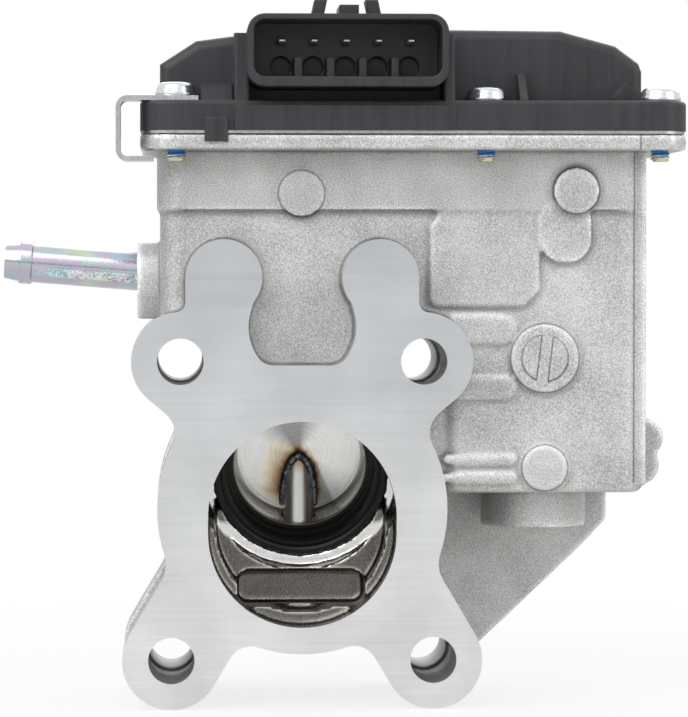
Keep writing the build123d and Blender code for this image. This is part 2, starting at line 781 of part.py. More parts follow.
gear_washer_top = sector_z + sector_thickness + 0.85
with BuildPart() as gear_washer:
    sleeve(idler_place, pin_d / 2 + 1.6, pin_d / 2 + 0.05, gear_washer_top - 0.5, gear_washer_top)
gear_washer.part.label = "gear_washer"


# ---------------------------------------------------------------- return spring
wire_r = 0.75
coil_r = well_r - 2.9
coil_turns = 4.5
coil_pitch = 2.0
coil_z = well_z + wire_r + 0.2
with BuildPart() as return_spring:
    with BuildLine(Plane(origin=(0, disc_y, coil_z))):
        Helix(coil_pitch, coil_pitch * coil_turns, coil_r)
    with BuildSketch(Plane(origin=(coil_r, disc_y, coil_z), x_dir=(1, 0, 0), z_dir=(0, 1, 0))):
        Circle(wire_r)
    sweep(is_frenet=True)
    # Straight tails: one out to the well's wall, one in to the hub
    with BuildSketch(across(coil_r - 0.3)):
        with Locations((disc_y, coil_z)):
            Circle(wire_r)
    extrude(amount=well_r - coil_r)
    with BuildSketch(across(-coil_r + 0.3)):
        with Locations((disc_y, coil_z + coil_pitch * coil_turns)):
            Circle(wire_r)
    extrude(amount=coil_r - hub_r - 0.6)
return_spring.part.label = "return_spring"


# ---------------------------------------------------------------- motor
can_r = motor_d / 2
can_wall = 1.3
plate_thickness = 1.8
can_bottom_z = motor_bottom_z + 1.3
cap_z = case_inner_floor_z - 6
rotor_shaft_r = 1.6
rotor_z0 = can_bottom_z + 7
rotor_z1 = cap_z - 15
rotor_r = 9.6
motor_bush_r = 3.4

with BuildPart() as motor_can:
    post(motor_place, can_r, can_bottom_z, case_inner_floor_z)
    fillet(motor_can.edges().group_by(Axis.Z)[0], 1.4)
    post(motor_place, can_boss_r, can_bottom_z - 4.5, can_bottom_z)
    post(motor_place, can_r - can_wall, can_bottom_z + can_wall, case_inner_floor_z, Mode.SUBTRACT)
    post(motor_place, motor_bush_r, can_bottom_z - 3.3, can_bottom_z + can_wall, Mode.SUBTRACT)
motor_can.part.label = "motor_can"

with BuildPart() as motor_magnets:
    with BuildSketch(level(rotor_z0)):
        with Locations(motor_place):
            Circle(can_r - can_wall)
            Circle(rotor_r + 0.6, mode=Mode.SUBTRACT)
            Rectangle(2 * can_r, 7, mode=Mode.SUBTRACT)
    extrude(amount=rotor_z1 - rotor_z0)
motor_magnets.part.label = "motor_magnets"

with BuildPart() as motor_end_cap:
    post(motor_place, can_r - can_wall, cap_z, case_inner_floor_z)
    post(motor_place, motor_bush_r, cap_z, case_inner_floor_z, Mode.SUBTRACT)
    with BuildSketch(level(cap_z)):
        with Locations(*[(motor_x + 10.6, motor_y + side * 5.5) for side in (-1, 1)]):
            Rectangle(0.9, 4.2)
    extrude(amount=case_inner_floor_z - cap_z, mode=Mode.SUBTRACT)
motor_end_cap.part.label = "motor_end_cap"

plate_z = case_inner_floor_z
with BuildPart() as motor_plate:
    column(motor_x - 16.4, motor_x + 16.4, motor_y - 17.6, motor_y + 17.6, plate_z,
           plate_z + plate_thickness, 5)
    post(motor_place, motor_bush_r + 0.4, plate_z, plate_z + plate_thickness, Mode.SUBTRACT)
    for place in motor_screw_places:
        post(place, motor_screw_d / 2 + 0.2, plate_z, plate_z + plate_thickness, Mode.SUBTRACT)
    with BuildSketch(level(plate_z)):
        with Locations((motor_x + 10.6, motor_y)):
            RectangleRounded(3.4, 17, 1)
    extrude(amount=plate_thickness, mode=Mode.SUBTRACT)
motor_plate.part.label = "motor_plate"

with BuildPart() as motor_screws:
    for place in motor_screw_places:
        post(place, motor_screw_d / 2 - 0.03, plate_z - 6, plate_z + plate_thickness)
        post(place, 2.7, plate_z + plate_thickness, plate_z + plate_thickness + 1.9)
        with BuildSketch(level(plate_z + plate_thickness + 1.9)):
            with Locations(place):
                Rectangle(2.8, 0.7)
                Rectangle(0.7, 2.8)
        extrude(amount=-1.0, mode=Mode.SUBTRACT)
motor_screws.part.label = "motor_screws"

with BuildPart() as wave_washer:
    sleeve(motor_place, can_r - 0.6, can_boss_r + 3, motor_bottom_z, can_bottom_z)
    # Crests and hollows of the wave
    with BuildSketch(level(motor_bottom_z)):
        with Locations(motor_place):
            with PolarLocations(can_r - 4, 3):
                Rectangle(14, 9)
    extrude(amount=0.8, mode=Mode.SUBTRACT)
    with BuildSketch(level(can_bottom_z)):
        with Locations(motor_place):
            with PolarLocations(can_r - 4, 3, start_angle=60):
                Rectangle(14, 9)
    extrude(amount=-0.8, mode=Mode.SUBTRACT)
wave_washer.part.label = "wave_washer"

with BuildPart() as motor_bushings:
    sleeve(motor_place, motor_bush_r, rotor_shaft_r + running_clearance, can_bottom_z - 3.3,
           can_bottom_z + can_wall)
    sleeve(motor_place, motor_bush_r, rotor_shaft_r + running_clearance, cap_z, case_inner_floor_z)
motor_bushings.part.label = "motor_bushings"

with BuildPart() as motor_armature:
    # Five pole laminations with wound slots between them
    with BuildSketch(level(rotor_z0)):
        with Locations(motor_place):
            Circle(rotor_r)
            with PolarLocations(rotor_r - 3.4, 5):
                Circle(2.1, mode=Mode.SUBTRACT)
            with PolarLocations(rotor_r - 1, 5):
                Rectangle(3, 1.0, mode=Mode.SUBTRACT)
            Circle(rotor_shaft_r, mode=Mode.SUBTRACT)
    extrude(amount=rotor_z1 - rotor_z0)
motor_armature.part.label = "motor_armature"

with BuildPart() as motor_windings:
    for turn_z in (rotor_z0 - 2.6, rotor_z1):
        sleeve(motor_place, rotor_r - 1.8, rotor_shaft_r, turn_z, turn_z + 2.6)
    fillet(motor_windings.edges().filter_by(GeomType.CIRCLE).filter_by(
        lambda edge: edge.radius > rotor_shaft_r + 1), 0.9)
motor_windings.part.label = "motor_windings"

commutator_z = rotor_z1 + 4.2
with BuildPart() as motor_commutator:
    sleeve(motor_place, 4.4, rotor_shaft_r, commutator_z, commutator_z + 7)
    with BuildSketch(level(commutator_z)):
        with Locations(motor_place):
            with PolarLocations(4.4, 5):
                Rectangle(1.6, 0.5)
    extrude(amount=7, mode=Mode.SUBTRACT)
motor_commutator.part.label = "motor_commutator"

with BuildPart() as motor_brushes:
    for side in (-1, 1):
        with BuildSketch(level(commutator_z + 1.5)):
            with Locations((motor_x, motor_y + side * 7.6)):
                Rectangle(3.4, 6)
        extrude(amount=4)
    for side in (-1, 1):
        with BuildSketch(level(commutator_z + 1.5)):
            with Locations((motor_x, motor_y + side * 9.8)):
                Rectangle(4.6, 1.6)
        extrude(amount=cap_z - commutator_z - 1.5)
motor_brushes.part.label = "motor_brushes"

with BuildPart() as motor_shaft:
    post(motor_place, rotor_shaft_r, can_bottom_z - 3.1, pinion_z + pinion_height)
    chamfer(motor_shaft.edges().filter_by(GeomType.CIRCLE), 0.3)
motor_shaft.part.label = "motor_shaft"

pinion_step = 360 / pinion_teeth
with BuildPart() as motor_pinion:
    with BuildSketch(level(pinion_z)):
        with Locations(motor_place):
            add(gear_outline(pinion_teeth, motor_angle + 180 + pinion_step / 2))
            Circle(rotor_shaft_r, mode=Mode.SUBTRACT)
    extrude(amount=pinion_height)
motor_pinion.part.label = "motor_pinion"

with BuildPart() as motor_terminals:
    for side in (-1, 1):
        with BuildSketch(level(cap_z)):
            with Locations((motor_x + 10.6, motor_y + side * 5.5)):
                Rectangle(0.8, 4.0)
        extrude(amount=terminal_top_z - cap_z)
motor_terminals.part.label = "motor_terminals"


# ---------------------------------------------------------------- gear cover
dome_x0 = case_left_x + 0.6
dome_x1 = case_right_x - 0.2
dome_y0 = 10.2
dome_y1 = 45.2
dome_shoulder_z = 89.2
crown_x = 30.0
crown_z = cover_top_z + 1.3
dome_round = 2.0
cover_ceiling_z = cover_z + 4.1
connector_left = connector_x - shroud_width / 2
connector_right = connector_x + shroud_width / 2
shroud_floor_y = connector_front_y + 14
frame_left_t = 2.4
frame_right_t = 1.6
frame_top_z = 94.6
frame_front_y = rim_y0 + 0.2
band_proud = 0.6
slot_top_z = shroud_z - shroud_height / 2
sleeve_outer_r = 3.15
sleeve_inner_r = 2.3
stem_r = 3.4
stem_tip_z = magnet_z + 0.8
pin_boss_r = 4.2
pin_socket_depth = 4.0
contact_x = motor_x + 10.6
contact_gap = 5.5
contact_block_z = terminal_top_z - 3.0
pin_width = 1.5
pin_thickness = 0.8
pin_reach = 8.4
pin_tail = 3.5


def dome_outline():
    """The cover's raised part, seen from the front."""
    with BuildSketch() as outline:
        with BuildLine():
            Polyline(
                (dome_x0, cover_z + 1),
                (dome_x0, dome_shoulder_z),
                (dome_x0 + 7.1, cover_top_z - 1),
                (dome_x0 + 14.5, cover_top_z),
                (crown_x, crown_z),
                (crown_x + 21, crown_z - 0.2),
                (dome_x1 - 5.2, dome_shoulder_z + 3.8),
                (dome_x1 - 0.6, dome_shoulder_z + 0.4),
                (dome_x1, dome_shoulder_z - 1.2),
                (dome_x1, cover_z + 1),
                close=True,
            )
        make_face()
    return outline.sketch


with BuildPart() as dome:
    with BuildSketch(facing_front(dome_y0)):
        add(dome_outline())
    extrude(amount=dome_y0 - dome_y1)
    upper_edges = dome.edges().filter_by(lambda edge: edge.center().Z > cover_z + 2)
    front_edges = upper_edges.filter_by(lambda edge: abs(edge.center().Y - dome_y0) < 0.01)
    rear_edges = upper_edges.filter_by(lambda edge: abs(edge.center().Y - dome_y1) < 0.01)
    fillet(front_edges + rear_edges, dome_round)

with BuildPart() as gear_cover:
    column(rim_x0, rim_x1, rim_y0, rim_y1, cover_z, cover_flange_z, 6)
    fillet(gear_cover.edges().group_by(Axis.Z)[-1], 0.8)
    add(dome.part)
    # Connector: a frame, the shroud inside it and a band across the flange below
    column(connector_left - frame_left_t, connector_left + 0.5, frame_front_y, dome_y0 + 3,
           cover_flange_z - 1, frame_top_z, 0.6)
    column(connector_right - 0.5, connector_right + frame_right_t, frame_front_y, dome_y0 + 3,
           cover_flange_z - 1, frame_top_z, 0.6)
    with BuildSketch(facing_front(connector_front_y)):
        with Locations((connector_x, shroud_z)):
            RectangleRounded(shroud_width, shroud_height, 3.4)
    extrude(amount=connector_front_y - dome_y0 - 4)
    with BuildSketch(facing_front(rim_y0)):
        with BuildLine():
            Polyline(
                (connector_left - frame_left_t, cover_z),
                (connector_right + frame_right_t, cover_z),
                (connector_right + frame_right_t, cover_flange_z - 0.9),
                (connector_left - frame_left_t, cover_flange_z - 0.9),
                close=True,
            )
        make_face()
    extrude(amount=band_proud)
    # Lock tabs with sloping sides on the shroud's roof, and the lug between them
    shroud_roof_z = shroud_z + shroud_height / 2
    for tab_x, lean in ((connector_x - 5.1, -1), (connector_x + 4.6, 1)):
        with BuildSketch(facing_front(connector_front_y + 2.5)):
            with BuildLine():
                Polyline(
                    (tab_x - 1.2 + 0.7 * lean, shroud_roof_z - 0.4),
                    (tab_x + 1.2 + 0.7 * lean, shroud_roof_z - 0.4),
                    (tab_x + 1.2, shroud_roof_z + 2.8),
                    (tab_x - 1.2, shroud_roof_z + 2.8),
                    close=True,
                )
            make_face()
        extrude(amount=-7)
    column(connector_x - 1.5, connector_x + 2.2, connector_front_y + 3, dome_y0 + 1, shroud_roof_z - 0.4,
           shroud_roof_z + 1.9, 0.5)
    # Gussets between the flange and the dome, and the tab that hooks over the rim
    for rib_x0, rib_x1, rib_top, rib_front in (
        (dome_x0 + 7.9, dome_x0 + 14.1, cover_flange_z + 3.5, 4.5),
        (middle_front_screw_x + 6.3, middle_front_screw_x + 7.9, cover_flange_z + 5.6, 2.0),
    ):
        with BuildSketch(across(rib_x0)):
            with BuildLine():
                Polyline(
                    (rib_front, cover_flange_z - 1),
                    (dome_y0 + 3, cover_flange_z - 1),
                    (dome_y0 + 3, rib_top),
                    (dome_y0 - 2, rib_top),
                    (rib_front, cover_flange_z + 0.4),
                    close=True,
                )
            make_face()
        extrude(amount=rib_x1 - rib_x0)
    with BuildSketch(facing_front(dome_y0 - 1.2)):
        with BuildLine():
            Polyline(
                (dome_x1 - 6, cover_flange_z - 1),
                (dome_x1 - 6, cover_flange_z + 1),
                (dome_x1 - 3.6, cover_flange_z + 3.8),
                (dome_x1 + 3.3, cover_flange_z),
                (dome_x1 + 3.3, cover_flange_z - 1),
                close=True,
            )
        make_face()
    extrude(amount=-4)
    column(dome_x0 + 8.6, dome_x0 + 13.1, rim_y0 - 1.0, rim_y0 + 0.2, cover_z, cover_z + 2.4, 0.2)
    column(dome_x0 + 8.6, dome_x0 + 13.1, rim_y0 - 1.0, rim_y0 - 0.05, rim_z - 1.6, cover_z + 1, 0.2)

    # Inside: room for the gears, the sector's bay and the dome's hollow
    column(cavity_x0, cavity_x1, cavity_y0, cavity_y1 - 1.2, cover_z, cover_ceiling_z, 3, Mode.SUBTRACT)
    post(valve_place, sector_bay_r, cover_z, cover_ceiling_z, Mode.SUBTRACT)
    with BuildSketch(facing_front(dome_y0 + cover_wall)):
        offset(dome_outline(), -cover_wall, kind=Kind.INTERSECTION)
    extrude(amount=dome_y0 + 2 * cover_wall - dome_y1, mode=Mode.SUBTRACT)
    with BuildSketch(level(cover_ceiling_z - 1)):
        rounded_plate(dome_x0 + cover_wall, dome_x1 - cover_wall, dome_y0 + cover_wall,
                      dome_y1 - cover_wall, 1)
    extrude(amount=2, mode=Mode.SUBTRACT)
    # Connector's socket, the slot under it, key ribs and the wells below the pins
    with BuildSketch(facing_front(connector_front_y)):
        with Locations((connector_x, shroud_z + 0.4)):
            RectangleRounded(shroud_width - 2 * shroud_wall, shroud_height - 2 * shroud_wall - 0.35, 2.2)
    extrude(amount=connector_front_y - shroud_floor_y, mode=Mode.SUBTRACT)
    for place_number in range(pin_count):
        with BuildSketch(facing_front(shroud_floor_y)):
            with Locations((first_pin_x + place_number * pin_pitch, connector_pin_z - 4.6)):
                Circle(2.0)
        extrude(amount=-2.0, mode=Mode.SUBTRACT)
        with BuildSketch(facing_front(shroud_floor_y)):
            with Locations((first_pin_x + place_number * pin_pitch, connector_pin_z)):
                Rectangle(pin_width, pin_thickness)
        extrude(amount=-pin_tail, mode=Mode.SUBTRACT)
    for gap_number in range(pin_count - 1):
        rib_x = first_pin_x + (gap_number + 0.5) * pin_pitch
        column(rib_x - 0.8, rib_x + 0.8, connector_front_y + 6, shroud_floor_y + 0.5, slot_top_z + 1,
               connector_pin_z - 3.2, 0.3)
    # Bosses that hang from the ceiling: gear pin, position sensor, motor contacts
    post(idler_place, pin_boss_r, gear_washer_top + 0.3, crown_z - cover_wall + 0.6)
    post(idler_place, pin_d / 2 + running_clearance, gear_washer_top, gear_washer_top + pin_socket_depth + 2,
         Mode.SUBTRACT)
    post(valve_place, stem_r, stem_tip_z, crown_z - cover_wall)
    column(-1.2, 1.2, disc_y - 2.1, disc_y + 2.1, stem_tip_z, stem_tip_z + 3.4, 0.2, Mode.SUBTRACT)
    column(contact_x - 2.6, contact_x + 2.6, motor_y - 8.6, motor_y + 8.6, contact_block_z,
           dome_shoulder_z + 3, 0.8)
    for side in (-1, 1):
        contact_y = motor_y + side * contact_gap
        column(contact_x - 0.9, contact_x + 0.9, contact_y - 2.5, contact_y + 2.5, contact_block_z,
               contact_block_z + 5, 0.2, Mode.SUBTRACT)
    # Screw sleeves
    for place in screw_places:
        post(place, sleeve_outer_r + 0.03, cover_z, cover_flange_z, Mode.SUBTRACT)
gear_cover.part.label = "gear_cover"

with BuildPart() as connector_pins:
    for place_number in range(pin_count):
        with BuildSketch(facing_front(shroud_floor_y - pin_reach)):
            with Locations((first_pin_x + place_number * pin_pitch, connector_pin_z)):
                Rectangle(pin_width, pin_thickness)
        extrude(amount=-pin_reach - pin_tail)
    chamfer(connector_pins.faces().sort_by(Axis.Y)[:pin_count].edges(), 0.25)
connector_pins.part.label = "connector_pins"

with BuildPart() as hall_sensor:
    column(-1.15, 1.15, disc_y - 2.05, disc_y + 2.05, stem_tip_z + 0.1, stem_tip_z + 3.3, 0.2)
hall_sensor.part.label = "hall_sensor"

with BuildPart() as motor_contacts:
    for side in (-1, 1):
        contact_y = motor_y + side * contact_gap
        for leaf_x in (contact_x - 0.65, contact_x + 0.65):
            column(leaf_x - 0.2, leaf_x + 0.2, contact_y - 2.2, contact_y + 2.2, contact_block_z + 0.2,
                   contact_block_z + 4.9, 0.15)
        column(contact_x - 0.85, contact_x + 0.85, contact_y - 2.2, contact_y + 2.2,
               contact_block_z + 4.3, contact_block_z + 4.9, 0.2)
motor_contacts.part.label = "motor_contacts"

with BuildPart() as cover_gasket:
    column(rim_x0 + 0.3, rim_x1 - 0.3, rim_y0 + 0.3, rim_y1 - 0.3, rim_z, cover_z, 5.7)
    column(cavity_x0, cavity_x1, cavity_y0, cavity_y1, rim_z, cover_z, 3, Mode.SUBTRACT)
    for place in screw_places:
        post(place, screw_d / 2 + 0.15, rim_z, cover_z, Mode.SUBTRACT)
cover_gasket.part.label = "cover_gasket"

with BuildPart() as cover_sleeves:
    for place in screw_places:
        post(place, sleeve_outer_r, cover_z, cover_flange_z)
        post(place, sleeve_inner_r, cover_z, cover_flange_z, Mode.SUBTRACT)
cover_sleeves.part.label = "cover_sleeves"

clip_t = 0.9
head_height = 2.7
with BuildPart() as cover_screws:
    for number, place in enumerate(screw_places):
        seat_z = cover_flange_z + (clip_t if number == 0 else 0)
        post(place, screw_d / 2 - 0.05, screw_tip_z, seat_z)
        post(place, screw_head_d / 2, seat_z, seat_z + head_height)
    head_rims = cover_screws.edges().filter_by(GeomType.CIRCLE).filter_by(
        lambda edge: edge.radius > screw_d / 2 + 1 and edge.center().Z > cover_flange_z + 2.5)
    fillet(head_rims, 1.5)
    # Drive recess
    for number, place in enumerate(screw_places):
        top_z = cover_flange_z + head_height + (clip_t if number == 0 else 0)
        with BuildSketch(level(top_z)):
            with Locations(place):
                for turn in (0, 60, 120):
                    SlotOverall(4.2, 1.5, rotation=turn)
        extrude(amount=-1.7, mode=Mode.SUBTRACT)
cover_screws.part.label = "cover_screws"

with BuildPart() as retaining_clip:
    clip_x = rim_x0 - 4.2
    with BuildSketch(facing_front(front_screw_y - 4)):
        with BuildLine() as clip_line:
            FilletPolyline(
                (left_screw_x + 4.2, cover_flange_z + clip_t / 2),
                (clip_x, cover_flange_z + clip_t / 2),
                (clip_x, rim_z - rim_thickness - 1.7),
                (case_left_x - 0.6, rim_z - rim_thickness - 1.7),
                radius=1.8,
            )
        trace(line_width=clip_t)
    extrude(amount=-8)
    post(screw_places[0], screw_d / 2 + 0.1, cover_flange_z, cover_flange_z + clip_t, Mode.SUBTRACT)
retaining_clip.part.label = "retaining_clip"

nipple_length = (nipple_boss_x - nipple_tip_x) / cos(radians(nipple_rise))
bead_start = nipple_length - nipple_tip_length - nipple_bead_w
with BuildPart() as coolant_nipple:
    with BuildSketch(nipple.offset(-nipple_socket + 0.1)):
        Circle(nipple_d / 2)
    extrude(amount=nipple_socket - 0.1 + bead_start)
    with BuildSketch(nipple.offset(bead_start)):
        Circle(nipple_bead_d / 2)
    extrude(amount=nipple_bead_w)
    with BuildSketch(nipple.offset(bead_start + nipple_bead_w)):
        Circle(nipple_d / 2)
    with BuildSketch(nipple.offset(nipple_length)):
        Circle(nipple_d / 2 - 0.45)
    loft()
    with BuildSketch(nipple.offset(nipple_length)):
        Circle(nipple_d / 2 - 1.2)
    extrude(amount=-nipple_length - nipple_socket, mode=Mode.SUBTRACT)
    fillet(coolant_nipple.edges().filter_by(GeomType.CIRCLE).filter_by(
        lambda edge: edge.radius > nipple_bead_d / 2 - 0.05), 0.3)
coolant_nipple.part.label = "coolant_nipple"


# ---------------------------------------------------------------- write the parts
export_step(valve_body.part, "parts/valve_body.step")
export_step(nozzle_ring.part, "parts/nozzle_ring.step")
export_step(valve_disc.part, "parts/valve_disc.step")
export_step(seal_ring.part, "parts/seal_ring.step")
export_step(valve_shaft.part, "parts/valve_shaft.step")
export_step(disc_weld.part, "parts/disc_weld.step")
export_step(lower_bushing.part, "parts/lower_bushing.step")
export_step(lower_plug.part, "parts/lower_plug.step")
export_step(upper_bushing.part, "parts/upper_bushing.step")
export_step(shaft_seal.part, "parts/shaft_seal.step")
export_step(bearing_outer_ring.part, "parts/bearing_outer_ring.step")
export_step(bearing_inner_ring.part, "parts/bearing_inner_ring.step")
export_step(bearing_balls.part, "parts/bearing_balls.step")
export_step(valve_gear.part, "parts/valve_gear.step")
export_step(gear_insert.part, "parts/gear_insert.step")
export_step(sensor_magnets.part, "parts/sensor_magnets.step")
export_step(magnet_yoke.part, "parts/magnet_yoke.step")
export_step(intermediate_gear.part, "parts/intermediate_gear.step")
export_step(intermediate_pin.part, "parts/intermediate_pin.step")
export_step(gear_washer.part, "parts/gear_washer.step")
export_step(return_spring.part, "parts/return_spring.step")
export_step(motor_can.part, "parts/motor_can.step")
export_step(motor_magnets.part, "parts/motor_magnets.step")
export_step(motor_end_cap.part, "parts/motor_end_cap.step")
export_step(motor_plate.part, "parts/motor_plate.step")
export_step(motor_screws.part, "parts/motor_screws.step")
export_step(wave_washer.part, "parts/wave_washer.step")
export_step(motor_bushings.part, "parts/motor_bushings.step")
export_step(motor_armature.part, "parts/motor_armature.step")
export_step(motor_windings.part, "parts/motor_windings.step")
export_step(motor_commutator.part, "parts/motor_commutator.step")
export_step(motor_brushes.part, "parts/motor_brushes.step")
export_step(motor_shaft.part, "parts/motor_shaft.step")
export_step(motor_pinion.part, "parts/motor_pinion.step")
export_step(motor_terminals.part, "parts/motor_terminals.step")
export_step(motor_contacts.part, "parts/motor_contacts.step")
export_step(gear_cover.part, "parts/gear_cover.step")
export_step(connector_pins.part, "parts/connector_pins.step")
export_step(hall_sensor.part, "parts/hall_sensor.step")
export_step(cover_gasket.part, "parts/cover_gasket.step")
export_step(cover_sleeves.part, "parts/cover_sleeves.step")
export_step(cover_screws.part, "parts/cover_screws.step")
export_step(retaining_clip.part, "parts/retaining_clip.step")
export_step(coolant_nipple.part, "parts/coolant_nipple.step")
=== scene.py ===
from math import cos, pi, radians, sin, tan

import bmesh
import bpy
from mathutils import Matrix, Vector


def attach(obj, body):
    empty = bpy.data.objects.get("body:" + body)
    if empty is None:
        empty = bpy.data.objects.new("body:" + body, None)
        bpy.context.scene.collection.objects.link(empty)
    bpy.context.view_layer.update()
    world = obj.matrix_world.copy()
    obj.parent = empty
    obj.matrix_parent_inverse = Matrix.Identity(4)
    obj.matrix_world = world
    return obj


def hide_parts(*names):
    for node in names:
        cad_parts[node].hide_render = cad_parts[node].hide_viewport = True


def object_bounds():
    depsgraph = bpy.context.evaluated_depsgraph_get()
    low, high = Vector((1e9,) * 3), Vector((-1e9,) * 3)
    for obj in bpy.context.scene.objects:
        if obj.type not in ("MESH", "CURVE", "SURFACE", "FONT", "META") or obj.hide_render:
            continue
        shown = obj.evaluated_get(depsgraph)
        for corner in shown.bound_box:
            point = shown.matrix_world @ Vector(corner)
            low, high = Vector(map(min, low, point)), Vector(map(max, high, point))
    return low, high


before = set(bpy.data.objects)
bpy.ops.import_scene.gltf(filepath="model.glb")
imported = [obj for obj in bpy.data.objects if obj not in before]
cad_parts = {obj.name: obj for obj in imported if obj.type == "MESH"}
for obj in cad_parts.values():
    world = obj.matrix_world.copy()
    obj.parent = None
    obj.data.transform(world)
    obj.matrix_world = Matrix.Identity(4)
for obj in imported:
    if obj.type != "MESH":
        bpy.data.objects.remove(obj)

cad_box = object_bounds()


# ---------------------------------------------------------------- valve body
# The valve body is one aluminium die casting. Its skin keeps the mould's fine grain and round edges,
# while the two flange faces, the port and the seat of the nozzle are milled bright after casting.
MM = 0.001


def add_node(tree, kind, inputs=None, **settings):
    """A shader node; each input is given as a value or as the socket that feeds it."""
    made = tree.nodes.new(kind)
    for name, value in settings.items():
        setattr(made, name, value)
    for key, value in (inputs or {}).items():
        socket = made.inputs[key]
        if isinstance(value, bpy.types.NodeSocket):
            tree.links.new(value, socket)
        else:
            socket.default_value = value
    return made


def math_node(tree, operation, first, second=0.0, third=0.0, clamp=False):
    made = add_node(tree, "ShaderNodeMath", {0: first, 1: second, 2: third}, operation=operation)
    made.use_clamp = clamp
    return made.outputs[0]


def colour_mix(tree, factor, first, second, blend="MIX"):
    made = add_node(tree, "ShaderNodeMix", {0: factor, 6: first, 7: second},
                    data_type="RGBA", blend_type=blend)
    return made.outputs[2]


def colour_ramp(tree, value, *stops):
    """A colour ramp over a value, from stops in order: each is a place and its red, green and blue."""
    made = add_node(tree, "ShaderNodeValToRGB", {0: value})
    elements = made.color_ramp.elements
    for element, (at, colour) in zip(elements, (stops[0], stops[-1])):
        element.position = at
        element.color = (*colour, 1)
    for at, colour in stops[1:-1]:
        elements.new(at).color = (*colour, 1)
    return made.outputs[0]


def value_range(tree, value, low, high, to_low=0.0, to_high=1.0):
    """A value between low and high carried over to another range, and held at its ends."""
    ends = {"From Min": low, "From Max": high, "To Min": to_low, "To Max": to_high}
    return add_node(tree, "ShaderNodeMapRange", {"Value": value, **ends}).outputs[0]


def vector_math(tree, operation, first, second=(0, 0, 0), scale=1.0):
    """What a vector node gives: a number for a length, a distance or a dot product, or else a vector."""
    made = add_node(tree, "ShaderNodeVectorMath", {0: first, 1: second, 3: scale}, operation=operation)
    return made.outputs["Value" if operation in ("LENGTH", "DISTANCE", "DOT_PRODUCT") else "Vector"]


def axes(tree, vector):
    """The X, Y and Z of a vector."""
    return add_node(tree, "ShaderNodeSeparateXYZ", {0: vector}).outputs


def noise(tree, place, scale, detail, roughness=0.5):
    inputs = {"Vector": place, "Scale": scale, "Detail": detail, "Roughness": roughness}
    return add_node(tree, "ShaderNodeTexNoise", inputs).outputs[0]


def new_group(name, inputs, outputs):
    """A node group with float or vector inputs; gives its tree, its input node and its output node."""
    tree = bpy.data.node_groups.new(name, "ShaderNodeTree")
    for label, start in inputs.items():
        kind = "NodeSocketFloat" if isinstance(start, float) else "NodeSocketVector"
        socket = tree.interface.new_socket(label, in_out="INPUT", socket_type=kind)
        if kind == "NodeSocketFloat":
            socket.default_value = start
    for label, kind in outputs.items():
        tree.interface.new_socket(label, in_out="OUTPUT", socket_type=kind)
    return tree, tree.nodes.new("NodeGroupInput"), tree.nodes.new("NodeGroupOutput")


def use_group(tree, group, inputs):
    return add_node(tree, "ShaderNodeGroup", inputs, node_tree=group).outputs


def band(tree, value, low, high, soft):
    """1 where a value lies between low and high, 0 outside, with soft sides."""
    return use_group(tree, inside_band, {"Value": value, "Low": low, "High": high, "Soft": soft})["Mask"]


def new_material(name, colour, roughness, metallic=0.0):
    """A Principled material; gives the material, its tree, its shader and coordinates in millimetres."""
    made = bpy.data.materials.new(name)
    made.use_nodes = True
    tree = made.node_tree
    shader = tree.nodes["Principled BSDF"]
    shader.inputs["Base Color"].default_value = (*colour, 1)
    shader.inputs["Roughness"].default_value = roughness
    shader.inputs["Metallic"].default_value = metallic
    place = add_node(tree, "ShaderNodeTexCoord").outputs["Object"]
    return made, tree, shader, vector_math(tree, "SCALE", place, scale=1 / MM)


def bump(tree, shader, height, distance, strength, under=None):
    """Relief under the shader, on top of another relief or a bevel if one is given."""
    made = add_node(tree, "ShaderNodeBump", {"Height": height, "Distance": distance, "Strength": strength})
    if under is not None:
        tree.links.new(under, made.inputs["Normal"])
    tree.links.new(made.outputs[0], shader.inputs["Normal"])
    return made.outputs[0]


# Fine mould grain with soft blotches and a few pits
cast_grain, inp, out = new_group("cast_grain", {"Place": (0, 0, 0), "Grain": 3.0, "Blotch": 0.12},
                                 {"Tone": "NodeSocketFloat", "Height": "NodeSocketFloat"})
fine = noise(cast_grain, inp.outputs["Place"], inp.outputs["Grain"], 4.0, 0.6)
soft = noise(cast_grain, inp.outputs["Place"], inp.outputs["Blotch"], 3.0, 0.55)
pits = add_node(cast_grain, "ShaderNodeTexVoronoi", {"Vector": inp.outputs["Place"], "Scale": 0.9})
pit_mask = value_range(cast_grain, pits.outputs["Distance"], 0.04, 0.16)
tone = math_node(cast_grain, "MULTIPLY", fine, 0.7)
tone = math_node(cast_grain, "MULTIPLY_ADD", soft, 0.3, tone)
cast_grain.links.new(tone, out.inputs["Tone"])
height = math_node(cast_grain, "MULTIPLY_ADD", pit_mask, 0.35, fine)
cast_grain.links.new(height, out.inputs["Height"])

# Straight cutter marks along X with slow waves, for milled faces
feed_marks, inp, out = new_group("feed_marks", {"Place": (0, 0, 0), "Pitch": 2.2},
                                 {"Tone": "NodeSocketFloat", "Height": "NodeSocketFloat"})
stretched = add_node(feed_marks, "ShaderNodeMapping",
                     {"Vector": inp.outputs["Place"], "Scale": (0.02, 1, 1)}).outputs[0]
lines = noise(feed_marks, stretched, inp.outputs["Pitch"], 5.0, 0.65)
clouds = noise(feed_marks, inp.outputs["Place"], 0.06, 4.0)
mixed = math_node(feed_marks, "MULTIPLY", lines, 0.4)
mixed = math_node(feed_marks, "MULTIPLY_ADD", clouds, 0.6, mixed)
feed_marks.links.new(mixed, out.inputs["Tone"])
feed_marks.links.new(lines, out.inputs["Height"])

